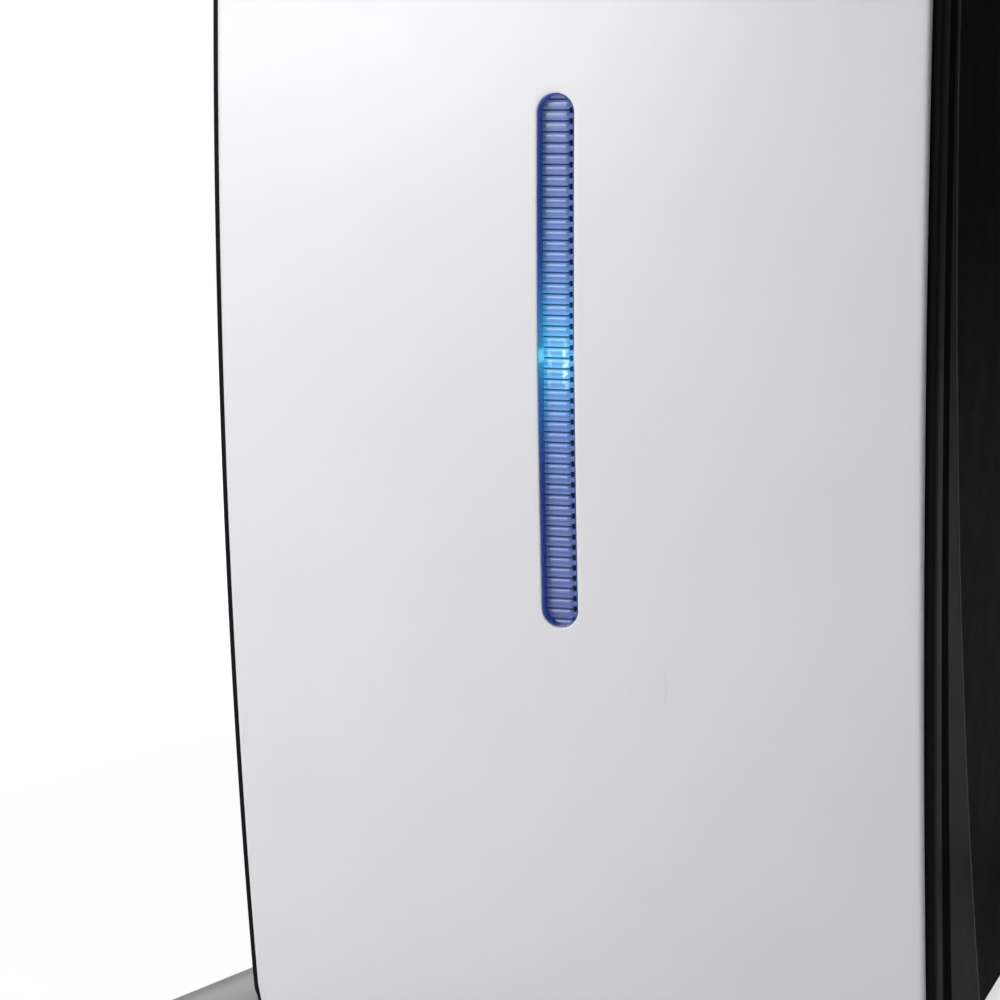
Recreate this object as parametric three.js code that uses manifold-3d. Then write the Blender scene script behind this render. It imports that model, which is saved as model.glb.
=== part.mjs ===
// An upright games console with a bowed, hinged front door and a blue light bar, and its
// wireless controller. Millimetres, +Z up, the front faces -Y, the floor is z = 0.
import * as THREE from "three";
import { mergeVertices } from "three/addons/utils/BufferGeometryUtils.js";
import Module from "manifold-3d";

const wasm = await Module();
wasm.setup();

// ---------------------------------------------------------------- driving dimensions
const GAP = 0.3; // between pieces that rest on or lie beside each other

// Console body, in its own coordinates: centre plane x = 0
const HALF_W = 70;
const BODY_Z = 12; // underside of the body
const REAR_Y = 108;
const COVER_T = 2.7; // side cover thickness
const PLATE_T = 3; // tray, top cover and rear panel thickness
const TOP_CREST_Z = 318;
const TOP_CREST_Y = 10;
const TOP_RADIUS = 2400;

// Door: bowed from bottom to top, slightly crowned from side to side
const DOOR_APEX_Y = -120;
const DOOR_APEX_Z = 172;
const DOOR_BOW_RADIUS = 1000;
const DOOR_CROWN_RADIUS = 1500;
const SKIN_HALF_W = 69;
const SKIN_LOW_Z = 14;
const SKIN_HIGH_Z = 308;
const SKIN_T = 1.6;
const LINER_LIP = 1.5; // how far the black liner stands out round the skin
const DOOR_T = 9.5;
const RIM_T = 2.5;
const DOOR_CORNER_R = 3.5;
const MAGNET = { x: [60, 65.8], z: [145, 165], slack: 0.6 };
const PIN_REACH = 4.6; // how far the pivot pins stand out above and below the door
const PIVOT_X = -66.5;
const PIVOT_Y = -102;
const PIVOT_R = 1.6;

// Light bar in the door
const SLOT_W = 7.1;
const SLOT_H = 100.4;
const SLOT_Z = 149;
const RIB_PITCH = 2;
const RIB_DEPTH = 0.6;
const LENS_T = 3;
const LAMPS = { count: 7, pitch: 12, size: 3.2, proud: 0.8 };
const LAMP_BOARD = { width: 5.2, length: 92, thickness: 1 };

// Bezel behind the door, and the curved seam where the side covers start
const BEZEL_APEX_Y = -107.7;
const BEZEL_BOW_RADIUS = 806;
const BEZEL_CHAMFER = 8;
const BEZEL_T = 3;
const BEZEL_TOP_Z = 316;
const SEAM_Y = -96.5;
const SEAM_Z = 203;
const SEAM_RADIUS = 445;

// Visor above the door and sill below it, parts of the bezel that hold the door's pins
const VISOR_FRONT_Y = -108.6;
const SILL_FRONT_Y = -106;
const SILL_LOW_Z = 9;
const FRAME_BACK_Y = -88;

// Feet, from under the body to the tip
const FOOT_ROOT = [38, 50];
const FOOT_TIP = [107.3, 117];
const REAR_FOOT_TIP_Y = 98;
const FOOT_HALF_W = [14, 7]; // at the root and at the tip
const FOOT_CREST_Z = [27, 3.4];
const FOOT_EDGE_DROP = 2.5; // from the crest to the edges, at the root
const FOOT_REACH = 108; // outermost x of a foot

// Air vents: how many slots, where the first one starts, how far apart and how wide they are
const SIDE_VENTS = { count: 12, first: 30, pitch: 5, width: 2.4, z: [50, 110] };
const TOP_VENTS = { count: 9, first: 30, pitch: 6, width: 2.6, halfLength: 42 };
const BASE_VENTS = { count: 8, first: -10, pitch: 7, width: 2.8, halfLength: 30 };
const GRILLE = { rows: 6, pitch: 5.6, height: 2.8, rib: 2.4 };

// Boards and boxes inside the console: their spans in x, y and z
const MAINBOARD = { x: [-62, -60.4], y: [-40, 78], z: [24, 292] };
const CHIPS = [
  { top: -57.9, y: [30, 66], z: [222, 258] },
  { top: -58.6, y: [-20, 4], z: [90, 114] },
  { top: -58.6, y: [20, 44], z: [90, 114] },
  { top: -59, y: [-20, -6], z: [150, 162] },
  { top: -59, y: [0, 14], z: [150, 162] },
];
const POST_R = 3;
const POST_Y = [-34, 72];
const POST_Z = [32, 158, 284];
const HEATSINK = { x: [-57.6, -14], y: [22, 76], z: [204, 276] };
const FINS = { count: 11, pitch: 6.9, thickness: 1.4, baseX: -53 };
const POWER_SUPPLY = { x: [14, 62], y: [-22, 78], z: [20, 122] };
const HARD_DRIVE = { x: [18, 27.5], y: [-62, 38], z: [148, 218] };

// Disc drive: the disc stands upright in the plane x = 0
const DRIVE_HALF_T = 9;
const DRIVE_FRONT_Y = -97.5;
const DRIVE_BACK_Y = 33;
const DRIVE_LOW_Z = 134;
const DRIVE_HIGH_Z = 274;
const DRIVE_WALL = 1.2;
const DISC_SLOT_W = 6;
const DISC_SLOT_H = 126;
const SPINDLE_Y = -34;
const SPINDLE_Z = 204;
const LASER_Y = [-16, -2]; // with the laser nearest the spindle
const ROLLER_Y = -88;
const ROLLER_X = 3.9;
const ROLLER_R = 2.8;
const ROLLER_REACH = 56; // half the length of the rubber sleeve
const SHAFT_REACH = 66;
const SPINDLE = { motorR: 12, tableR: 15, nubR: 7.3, backX: -7.3, motorX: -3.4, tableX: -1, nubX: 1.6 };

// Fan
const FAN_SIZE = 80;
const FAN_T = 20;
const FAN_Y = 93;
const FAN_Z = 245;
const FAN_HOLE_R = 38;
const FAN_HUB_R = 14;
const FAN_BLADES = 7;

// Controller, in its own coordinates: grips towards -Y, lying on the floor
const PAD_HALF_W = 76.5;
const PAD_PARTING_Z = 24;
const PAD_WALL = 2.4;
const STICK_PIVOT_Z = 27;
const LEFT_STICK = [-42, 10];
const RIGHT_STICK = [19, -9];
const DPAD_AT = [-19, -9];
const FACE_AT = [42, 8];
const FACE_SPREAD = 10.8;
const STICK_HOLE_R = 10.8;
const DPAD_HOLE = { reach: 12.6, width: 10 };
const FACE_R = 5.2;
const BATTERY_HOLE = { x: [-27, 27], y: [-15, 19] };
const BATTERY_COVER = { x: [-31, 31], y: [-19, 23], height: 5.5, wall: 2, radius: 6 };
const CELL_R = 7.1;
const CELL_Y = [-5.5, 9.5];
const CELL_Z = 11.3;

// Places of the console and the controller, so that the pair is centred on x = 0 and y = 0
const CONTROLLER_OFFSET_X = 200;
const CONTROLLER_OFFSET_Y = -45;
const CONSOLE_X = (FOOT_REACH - CONTROLLER_OFFSET_X - PAD_HALF_W) / 2;
const CONSOLE_Y = -(DOOR_APEX_Y + REAR_Y) / 2;

// ---------------------------------------------------------------- materials
const SILVER = { color: 0xd9d8dc, roughness: 0.38, metalness: 0.25 };
const BLACK = { color: 0x141416, roughness: 0.42, metalness: 0 };
const DARK = { color: 0x1d1e21, roughness: 0.5, metalness: 0 };
const GREY = { color: 0x96969a, roughness: 0.5, metalness: 0.1 };
const BLUE = { color: 0x5f84d8, roughness: 0.15, metalness: 0 };
const BOARD = { color: 0x1f5a36, roughness: 0.6, metalness: 0.1 };
const STEEL = { color: 0xb4b6ba, roughness: 0.35, metalness: 0.9 };
const RUBBER = { color: 0x202022, roughness: 0.85, metalness: 0 };
const WHITE = { color: 0xe6e6ea, roughness: 0.4, metalness: 0 };

// ---------------------------------------------------------------- helpers
function solid(geometry) {
  const bare = geometry.clone();
  bare.deleteAttribute("normal");
  bare.deleteAttribute("uv");
  const merged = mergeVertices(bare);
  return new wasm.Manifold(
    new wasm.Mesh({
      numProp: 3,
      vertProperties: merged.getAttribute("position").array,
      triVerts: Uint32Array.from(merged.index.array),
    }),
  );
}

function meshOf(name, manifold, finish) {
  const cut = manifold.getMesh();
  const geometry = new THREE.BufferGeometry();
  geometry.setAttribute("position", new THREE.BufferAttribute(Float32Array.from(cut.vertProperties), 3));
  geometry.setIndex(new THREE.BufferAttribute(Uint32Array.from(cut.triVerts), 1));
  geometry.computeVertexNormals();
  const mesh = new THREE.Mesh(geometry, new THREE.MeshStandardMaterial(finish));
  mesh.name = name;
  return mesh;
}

function box(x, y, z) {
  const geometry = new THREE.BoxGeometry(x[1] - x[0], y[1] - y[0], z[1] - z[0]);
  return solid(geometry.translate((x[0] + x[1]) / 2, (y[0] + y[1]) / 2, (z[0] + z[1]) / 2));
}

// A cylinder along one axis, from one coordinate on that axis to another
function rod(axis, radius, span, centre, sides = 24) {
  const length = span[1] - span[0];
  const middle = (span[0] + span[1]) / 2;
  const geometry = new THREE.CylinderGeometry(radius, radius, length, sides);
  if (axis === "x") geometry.rotateZ(Math.PI / 2).translate(middle, centre[0], centre[1]);
  if (axis === "y") geometry.translate(centre[0], middle, centre[1]);
  if (axis === "z") geometry.rotateX(Math.PI / 2).translate(centre[0], centre[1], middle);
  return solid(geometry);
}

// An outline in x and z, extruded along y
function prismY(shape, yLow, yHigh, curveSegments = 6) {
  const geometry = new THREE.ExtrudeGeometry(shape, {
    depth: yHigh - yLow,
    bevelEnabled: false,
    curveSegments,
  });
  return solid(geometry.rotateX(Math.PI / 2).translate(0, yHigh, 0));
}

// An outline in y and z, extruded along x
function prismX(shape, xLow, xHigh, curveSegments = 6) {
  const geometry = new THREE.ExtrudeGeometry(shape, {
    depth: xHigh - xLow,
    bevelEnabled: false,
    curveSegments,
  });
  const turn = new THREE.Matrix4().makeBasis(
    new THREE.Vector3(0, 1, 0),
    new THREE.Vector3(0, 0, 1),
    new THREE.Vector3(1, 0, 0),
  );
  return solid(geometry.applyMatrix4(turn).translate(xLow, 0, 0));
}

function roundedRect(x, z, radius) {
  const shape = new THREE.Shape();
  shape.moveTo(x[0] + radius, z[0]);
  shape.lineTo(x[1] - radius, z[0]);
  shape.absarc(x[1] - radius, z[0] + radius, radius, -Math.PI / 2, 0);
  shape.lineTo(x[1], z[1] - radius);
  shape.absarc(x[1] - radius, z[1] - radius, radius, 0, Math.PI / 2);
  shape.lineTo(x[0] + radius, z[1]);
  shape.absarc(x[0] + radius, z[1] - radius, radius, Math.PI / 2, Math.PI);
  shape.lineTo(x[0], z[0] + radius);
  shape.absarc(x[0] + radius, z[0] + radius, radius, Math.PI, 1.5 * Math.PI);
  return shape;
}

// The light bar's outline, grown by an amount all round
function lightSlot(grow) {
  const radius = SLOT_W / 2 + grow;
  const reach = SLOT_H / 2 - SLOT_W / 2;
  const shape = new THREE.Shape();
  shape.absarc(0, SLOT_Z + reach, radius, 0, Math.PI);
  shape.absarc(0, SLOT_Z - reach, radius, Math.PI, 2 * Math.PI);
  return shape;
}

// Moves each vertex of a geometry by a function that changes it in place
function warp(geometry, place) {
  const position = geometry.getAttribute("position");
  const point = new THREE.Vector3();
  for (let i = 0; i < position.count; i += 1) {
    point.fromBufferAttribute(position, i);
    place(point);
    position.setXYZ(i, point.x, point.y, point.z);
  }
  return geometry;
}

const joined = (pieces) => pieces.reduce((whole, piece) => whole.add(piece));
const cutFrom = (whole, pieces) => pieces.reduce((rest, piece) => rest.subtract(piece), whole);

// ---------------------------------------------------------------- curves of the body
function doorFront(x, z) {
  const bow = (z - DOOR_APEX_Z) ** 2 / (2 * DOOR_BOW_RADIUS);
  const crown = x ** 2 / (2 * DOOR_CROWN_RADIUS);
  return DOOR_APEX_Y + bow + crown;
}

const bezelFront = (z) => BEZEL_APEX_Y + (z - DOOR_APEX_Z) ** 2 / (2 * BEZEL_BOW_RADIUS);
const seam = (z) => SEAM_Y + (z - SEAM_Z) ** 2 / (2 * SEAM_RADIUS);
const topEdge = (y) => TOP_CREST_Z - (y - TOP_CREST_Y) ** 2 / (2 * TOP_RADIUS);

// ---------------------------------------------------------------- door
const DOOR_SPAN_Y = [DOOR_APEX_Y - 5, DOOR_APEX_Y + 40]; // deeper than any part of the door

// A layer of the door between two depths behind its front, trimmed to an outline
function doorLayer(shape, front, back) {
  const height = SKIN_HIGH_Z - SKIN_LOW_Z + 6;
  const block = new THREE.BoxGeometry(2 * HALF_W + 4, 1, height, 4, 1, 14);
  const middle = (SKIN_LOW_Z + SKIN_HIGH_Z) / 2;
  const bowed = warp(block, (p) => {
    p.z += middle;
    p.y = doorFront(p.x, p.z) + (p.y < 0 ? front : back);
  });
  return solid(bowed).intersect(prismY(shape, ...DOOR_SPAN_Y));
}

function doorOutline(grow) {
  const x = [-SKIN_HALF_W - grow, SKIN_HALF_W + grow];
  const z = [SKIN_LOW_Z - grow, SKIN_HIGH_Z + grow];
  return roundedRect(x, z, Math.max(DOOR_CORNER_R + grow, 2));
}

function doorSkin() {
  const slot = prismY(lightSlot(0), ...DOOR_SPAN_Y);
  return doorLayer(doorOutline(0), 0, SKIN_T).subtract(slot);
}

function doorLiner() {
  const front = SKIN_T + GAP;
  const plateBack = front + 2;
  const plate = doorLayer(doorOutline(LINER_LIP), front, plateBack);
  const rimHole = prismY(doorOutline(LINER_LIP - RIM_T), ...DOOR_SPAN_Y);
  const rim = doorLayer(doorOutline(LINER_LIP), plateBack - 0.2, DOOR_T).subtract(rimHole);
  const channel = doorLayer(lightSlot(3), plateBack - 0.2, DOOR_T - 1);
  const lensHole = prismY(lightSlot(1), ...DOOR_SPAN_Y);
  const pieces = [plate, rim, channel];
  for (const z of [
    [SKIN_LOW_Z - LINER_LIP, SKIN_LOW_Z + 9],
    [SKIN_HIGH_Z - 9, SKIN_HIGH_Z + LINER_LIP],
  ]) {
    const boss = roundedRect([-HALF_W, -61], z, 1.5);
    pieces.push(doorLayer(boss, plateBack - 0.2, DOOR_T).intersect(plateEnvelope()));
  }
  pieces.push(rod("z", PIVOT_R, [SKIN_HIGH_Z - 3, SKIN_HIGH_Z + PIN_REACH], [PIVOT_X, PIVOT_Y], 16));
  pieces.push(rod("z", PIVOT_R, [SKIN_LOW_Z - PIN_REACH, SKIN_LOW_Z + 3], [PIVOT_X, PIVOT_Y], 16));
  const { x, z, slack } = MAGNET;
  const magnetPocket = box([x[0] - slack, x[1] + slack], DOOR_SPAN_Y, [z[0] - slack, z[1] + slack]);
  const whole = joined(pieces).subtract(lensHole);
  return whole.subtract(magnetPocket.intersect(doorLayer(doorOutline(0), plateBack, DOOR_T + 1)));
}

const plateEnvelope = () => doorLayer(doorOutline(LINER_LIP), 0, DOOR_T);

function doorMagnet() {
  const shape = roundedRect(MAGNET.x, MAGNET.z, 1);
  return doorLayer(shape, SKIN_T + GAP + 2 + GAP, DOOR_T - 0.4);
}

function lightLens() {
  const front = SKIN_T + GAP;
  let lens = doorLayer(lightSlot(0.6), front, front + LENS_T);
  const ribs = Math.floor(SLOT_H / RIB_PITCH);
  for (let i = 0; i < ribs; i += 1) {
    const z = SLOT_Z + (i - (ribs - 1) / 2) * RIB_PITCH;
    const face = doorFront(0, z) + front;
    lens = lens.subtract(box([-6, 6], [face - 1, face + RIB_DEPTH], [z - 0.3, z + 0.3]));
  }
  return lens;
}

function ledBoard() {
  const backY = DOOR_APEX_Y + DOOR_T - 0.6;
  const { width, length, thickness } = LAMP_BOARD;
  const frontY = backY - thickness;
  const strip = box([-width / 2, width / 2], [frontY, backY], [SLOT_Z - length / 2, SLOT_Z + length / 2]);
  const reach = LAMPS.size / 2;
  const lamps = [];
  for (let i = 0; i < LAMPS.count; i += 1) {
    const z = SLOT_Z + (i - (LAMPS.count - 1) / 2) * LAMPS.pitch;
    lamps.push(box([-reach, reach], [frontY - LAMPS.proud, frontY + 0.1], [z - reach, z + reach]));
  }
  return joined([strip, ...lamps]);
}

// ---------------------------------------------------------------- console shells
// Controls and sockets on the bezel's face: [x, z, radius]
const POWER = [0, 56, 9];
const EJECT = [34, 120, 6];
const SYNC = [34, 56, 4];
const SOCKETS = [
  [-36, 64],
  [-36, 48],
];

const USB_BLOCK = { x: [-46, -26], z: [42, 70], backY: -87.5 };
const SLOT_TRIM = { halfW: 14, z: [134, 274] };
const BEZEL_SPAN_Y = [DOOR_APEX_Y - 5, -80]; // from before the door to behind the bezel's face
const SOCKET_HALF = [6.3, 2.7]; // half the width and height of a front socket
const BUTTON = { proud: 0.8, depth: 8, flangeT: 2, flange: 1.6 };

function bezelBlock(halfWidth, chamfer, front, back, z) {
  const block = new THREE.BoxGeometry(2 * halfWidth, 1, z[1] - z[0], 3, 1, 18);
  return solid(
    warp(block, (p) => {
      const edge = Math.abs(p.x) > halfWidth - 1;
      p.x = edge ? p.x : Math.sign(p.x) * (halfWidth - chamfer);
      p.z += (z[0] + z[1]) / 2;
      const frontY = bezelFront(p.z) + front + (edge ? chamfer : 0);
      p.y = p.y < 0 ? frontY : seam(p.z) + back;
    }),
  );
}

function frontBezel() {
  const outer = bezelBlock(HALF_W, BEZEL_CHAMFER, 0, -GAP, [BODY_Z, BEZEL_TOP_Z]);
  const innerZ = [BODY_Z + BEZEL_T, BEZEL_TOP_Z - BEZEL_T];
  const inner = bezelBlock(HALF_W - BEZEL_CHAMFER, 1, BEZEL_T, 10, innerZ);
  const { halfW, z: trimZ } = SLOT_TRIM;
  const usb = USB_BLOCK;
  const cuts = [
    box([-halfW - GAP, halfW + GAP], BEZEL_SPAN_Y, [trimZ[0] - GAP, trimZ[1] + GAP]),
    box([usb.x[0] - GAP, usb.x[1] + GAP], BEZEL_SPAN_Y, [usb.z[0] - GAP, usb.z[1] + GAP]),
    rod("z", PIVOT_R + GAP, [SILL_LOW_Z - 1, SKIN_LOW_Z], [PIVOT_X, PIVOT_Y], 16),
    rod("z", PIVOT_R + GAP, [SKIN_HIGH_Z, SKIN_HIGH_Z + 5.2], [PIVOT_X, PIVOT_Y], 16),
  ];
  for (const [x, z, radius] of [POWER, EJECT, SYNC]) {
    cuts.push(rod("y", radius + 0.4, BEZEL_SPAN_Y, [x, z], 20));
  }
  return cutFrom(joined([outer.subtract(inner), visor(), sill()]), cuts);
}

// The bar above the door, rounded into the top
function visor() {
  const low = SKIN_HIGH_Z + LINER_LIP + GAP;
  const outline = new THREE.Shape();
  outline.moveTo(VISOR_FRONT_Y, low);
  outline.lineTo(VISOR_FRONT_Y + 0.4, low + 2.5);
  outline.quadraticCurveTo(VISOR_FRONT_Y + 1, BEZEL_TOP_Z, VISOR_FRONT_Y + 8, BEZEL_TOP_Z);
  outline.lineTo(FRAME_BACK_Y, BEZEL_TOP_Z);
  outline.lineTo(FRAME_BACK_Y, low);
  outline.closePath();
  return prismX(outline, -HALF_W, HALF_W, 4).intersect(roundedFront(VISOR_FRONT_Y));
}

// The bar below the door
function sill() {
  const high = SKIN_LOW_Z - LINER_LIP - GAP;
  const bar = box([-HALF_W, HALF_W], [SILL_FRONT_Y, FRAME_BACK_Y], [SILL_LOW_Z, high]);
  return bar.intersect(roundedFront(SILL_FRONT_Y));
}

// The body's plan with round corners at a front plane, as tall as the whole console
const roundedFront = (y) => prismZ(roundedRect([-HALF_W, HALF_W], [y, 0], 5), 0, TOP_CREST_Z, 4);

const discSlotSpan = () => [SPINDLE_Z - DISC_SLOT_H / 2, SPINDLE_Z + DISC_SLOT_H / 2];

function sideCover(side) {
  const steps = 16;
  const outline = [];
  for (let i = 0; i <= steps; i += 1) {
    const z = BODY_Z + ((BEZEL_TOP_Z - BODY_Z) * i) / steps;
    outline.push(new THREE.Vector2(seam(z) + GAP, z));
  }
  for (let i = 0; i <= steps / 2; i += 1) {
    const y = seam(BEZEL_TOP_Z) + ((REAR_Y - seam(BEZEL_TOP_Z)) * (i + 1)) / (steps / 2 + 1);
    outline.push(new THREE.Vector2(y, topEdge(y)));
  }
  outline.push(new THREE.Vector2(REAR_Y, BODY_Z));
  const inside = HALF_W - COVER_T;
  const span = side < 0 ? [-HALF_W, -inside] : [inside, HALF_W];
  const cover = prismX(new THREE.Shape(outline), span[0], span[1]);
  return cutFrom(cover, ventSlots(SIDE_VENTS, [span[0] - 1, span[1] + 1], SIDE_VENTS.z));
}

// A row of slots along y, over a span of x and a span of z
function ventSlots({ count, first, pitch, width }, x, z) {
  const slots = [];
  for (let i = 0; i < count; i += 1) {
    const y = first + i * pitch;
    slots.push(box(x, [y, y + width], z));
  }
  return slots;
}

function topCover() {
  const inside = HALF_W - COVER_T - GAP;
  const y = [seam(BEZEL_TOP_Z) + 2 * GAP, REAR_Y - GAP];
  const block = new THREE.BoxGeometry(2 * inside, y[1] - y[0], 1, 1, 10, 1);
  const plate = warp(block, (p) => {
    p.y += (y[0] + y[1]) / 2;
    p.z = topEdge(p.y) - (p.z < 0 ? PLATE_T : 0);
  });
  const length = TOP_VENTS.halfLength;
  const z = [TOP_CREST_Z - 15, TOP_CREST_Z + 5];
  return cutFrom(solid(plate), ventSlots(TOP_VENTS, [-length, length], z));
}

function baseTray() {
  const inside = HALF_W - COVER_T - GAP;
  const z = [BODY_Z, BODY_Z + PLATE_T];
  const plate = box([-inside, inside], [seam(BODY_Z) + GAP, REAR_Y - GAP], z);
  const length = BASE_VENTS.halfLength;
  return cutFrom(plate, ventSlots(BASE_VENTS, [-length, length], [z[0] - 1, z[1] + 1]));
}

// Rear sockets: [x, z, width, height]
const PORT_BLOCK = { x: [-46, -4], z: [40, 76], y: [88, 106.6] };
const REAR_SOCKETS = [
  [-25, 68, 15.4, 5.6],
  [-34, 51, 12.4, 9],
  [-14, 51, 12.8, 5.4],
];
const INLET_BLOCK = { x: [18, 44], z: [44, 62], y: [88, 106.6] };
const INLET_SOCKET = [31, 53, 16, 8.6];

function rearPanel() {
  const inside = HALF_W - COVER_T - GAP;
  const y = [REAR_Y - 4, REAR_Y - 1];
  const z = [BODY_Z + PLATE_T + GAP, topEdge(REAR_Y) - PLATE_T - GAP];
  const cuts = [];
  for (const block of [PORT_BLOCK, INLET_BLOCK]) {
    const x = [block.x[0] - GAP, block.x[1] + GAP];
    cuts.push(box(x, [y[0] - 1, y[1] + 1], [block.z[0] - GAP, block.z[1] + GAP]));
  }
  for (let i = -GRILLE.rows; i <= GRILLE.rows; i += 1) {
    const offset = i * GRILLE.pitch;
    const reach = Math.sqrt(FAN_HOLE_R ** 2 - offset ** 2) - 1;
    const slotZ = [FAN_Z + offset - GRILLE.height / 2, FAN_Z + offset + GRILLE.height / 2];
    cuts.push(box([-reach, -GRILLE.rib / 2], [y[0] - 1, y[1] + 1], slotZ));
    cuts.push(box([GRILLE.rib / 2, reach], [y[0] - 1, y[1] + 1], slotZ));
  }
  return cutFrom(box([-inside, inside], y, z), cuts);
}

function socketBlock(block, sockets, depth) {
  const y = [block.y[1] - depth, block.y[1] + 1];
  const cuts = sockets.map(([x, z, width, height]) =>
    box([x - width / 2, x + width / 2], y, [z - height / 2, z + height / 2]),
  );
  return cutFrom(box(block.x, block.y, block.z), cuts);
}

function frontUsbBlock() {
  const { x, z, backY } = USB_BLOCK;
  const geometry = new THREE.BoxGeometry(x[1] - x[0], 1, z[1] - z[0], 1, 1, 4);
  const block = warp(geometry, (p) => {
    p.x += (x[0] + x[1]) / 2;
    p.z += (z[0] + z[1]) / 2;
    p.y = p.y < 0 ? bezelFront(p.z) : backY;
  });
  const [reach, rise] = SOCKET_HALF;
  const cavityY = [BEZEL_SPAN_Y[0], backY - 1.7];
  const cuts = SOCKETS.map(([u, v]) => box([u - reach, u + reach], cavityY, [v - rise, v + rise]));
  return cutFrom(solid(block), cuts);
}

// The plate in the bezel's window that carries the disc slot
function discSlotTrim() {
  const { halfW, z } = SLOT_TRIM;
  const geometry = new THREE.BoxGeometry(2 * halfW, 1, z[1] - z[0], 1, 1, 8);
  const plate = warp(geometry, (p) => {
    p.z += (z[0] + z[1]) / 2;
    p.y = bezelFront(p.z) + (p.y < 0 ? 0 : BEZEL_T);
  });
  const slot = box([-DISC_SLOT_W / 2, DISC_SLOT_W / 2], BEZEL_SPAN_Y, discSlotSpan());
  return solid(plate).subtract(slot);
}

// A round push button whose face stands a little proud of the bezel
function pushButton([x, z, radius]) {
  const face = bezelFront(z) - BUTTON.proud;
  const back = face + BUTTON.depth;
  const cap = rod("y", radius, [face, back], [x, z], 20);
  const flangeY = [back - BUTTON.flangeT / 2, back + BUTTON.flangeT / 2];
  const flange = rod("y", radius + BUTTON.flange, flangeY, [x, z], 20);
  return cap.add(flange);
}

// ---------------------------------------------------------------- feet
// One splayed foot; its top slopes down from the body's side to the tip
function foot(side, front) {
  const tip = front < 0 ? FOOT_TIP : [FOOT_TIP[0], REAR_FOOT_TIP_Y];
  const root = new THREE.Vector2(side * FOOT_ROOT[0], front * FOOT_ROOT[1]);
  const along = new THREE.Vector2(side * tip[0], front * tip[1]).sub(root);
  const across = new THREE.Vector2(-along.y, along.x).normalize();
  const block = new THREE.BoxGeometry(1, 2, 1, 10, 4, 1);
  const arm = warp(block, (p) => {
    const t = p.x + 0.5;
    const tipRound = Math.sqrt(1 - 0.92 * Math.max(0, (t - 0.86) / 0.14) ** 2);
    const aside = THREE.MathUtils.lerp(...FOOT_HALF_W, t) * tipRound * p.y;
    const drop = FOOT_EDGE_DROP * (1 - 0.56 * t) * p.y ** 2;
    const top = THREE.MathUtils.lerp(...FOOT_CREST_Z, t) - drop;
    const x = root.x + along.x * t + across.x * aside;
    const y = root.y + along.y * t + across.y * aside;
    p.set(x, y, p.z > 0 ? top : 0);
  });
  const reach = HALF_W + GAP;
  const body = box([-reach, reach], [-130, 130], [BODY_Z - GAP, 60]);
  const sillSpace = box([-reach, reach], [-130, FRAME_BACK_Y + GAP], [SILL_LOW_Z - GAP, 60]);
  const limit = box([-FOOT_REACH, FOOT_REACH], [-130, 130], [-1, 60]);
  return cutFrom(solid(arm), [body, sillSpace]).intersect(limit);
}

// ---------------------------------------------------------------- disc drive
function driveCase() {
  const wall = DRIVE_WALL;
  const outer = box(
    [-DRIVE_HALF_T, DRIVE_HALF_T],
    [DRIVE_FRONT_Y, DRIVE_BACK_Y],
    [DRIVE_LOW_Z, DRIVE_HIGH_Z],
  );
  const inner = box(
    [-DRIVE_HALF_T + wall, DRIVE_HALF_T - wall],
    [DRIVE_FRONT_Y + wall, DRIVE_BACK_Y - wall],
    [DRIVE_LOW_Z + wall, DRIVE_HIGH_Z - wall],
  );
  const mouth = box([-DISC_SLOT_W / 2, DISC_SLOT_W / 2], [DRIVE_FRONT_Y - 5, -94], discSlotSpan());
  return cutFrom(outer, [inner, mouth]);
}

function discSpindle() {
  const centre = [SPINDLE_Y, SPINDLE_Z];
  const { motorR, tableR, nubR, backX, motorX, tableX, nubX } = SPINDLE;
  const motor = rod("x", motorR, [backX, motorX], centre, 32);
  const table = rod("x", tableR, [motorX - 0.2, tableX], centre, 32);
  const nub = rod("x", nubR, [tableX - 0.2, nubX], centre, 24);
  return joined([motor, table, nub]);
}

function laserSled() {
  const carriage = box([-7.3, -3.2], LASER_Y, [SPINDLE_Z - 17, SPINDLE_Z + 17]);
  const lens = rod("x", 3, [-3.4, -1.6], [(LASER_Y[0] + LASER_Y[1]) / 2, SPINDLE_Z], 20);
  return carriage.add(lens);
}

function loadRoller(side) {
  const x = side * ROLLER_X;
  const sleeve = rod("z", ROLLER_R, [SPINDLE_Z - ROLLER_REACH, SPINDLE_Z + ROLLER_REACH], [x, ROLLER_Y], 20);
  const shaft = rod("z", 1, [SPINDLE_Z - SHAFT_REACH, SPINDLE_Z + SHAFT_REACH], [x, ROLLER_Y], 12);
  return sleeve.add(shaft);
}

// ---------------------------------------------------------------- electronics
function mainboard() {
  const parts = [box(MAINBOARD.x, MAINBOARD.y, MAINBOARD.z)];
  for (const { top, y, z } of CHIPS) {
    parts.push(box([MAINBOARD.x[1] - 0.2, top], y, z));
  }
  const postX = [-HALF_W + COVER_T + GAP, MAINBOARD.x[0] + 0.5];
  for (const y of POST_Y) {
    for (const z of POST_Z) {
      parts.push(rod("x", POST_R, postX, [y, z], 12));
    }
  }
  return joined(parts);
}

function heatsink() {
  const { x, y, z } = HEATSINK;
  const parts = [box([x[0], FINS.baseX], y, z)];
  for (let i = 0; i < FINS.count; i += 1) {
    const finZ = z[0] + 1 + i * FINS.pitch;
    parts.push(box([FINS.baseX - 0.2, x[1]], y, [finZ, finZ + FINS.thickness]));
  }
  return joined(parts);
}

function powerSupply() {
  const { x, y, z } = POWER_SUPPLY;
  const grooves = { count: 8, first: y[0] + 12, pitch: 9, width: 3 };
  return cutFrom(box(x, y, z), ventSlots(grooves, [x[1] - 2, x[1] + 1], [z[0] + 14, z[1] - 14]));
}

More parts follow.
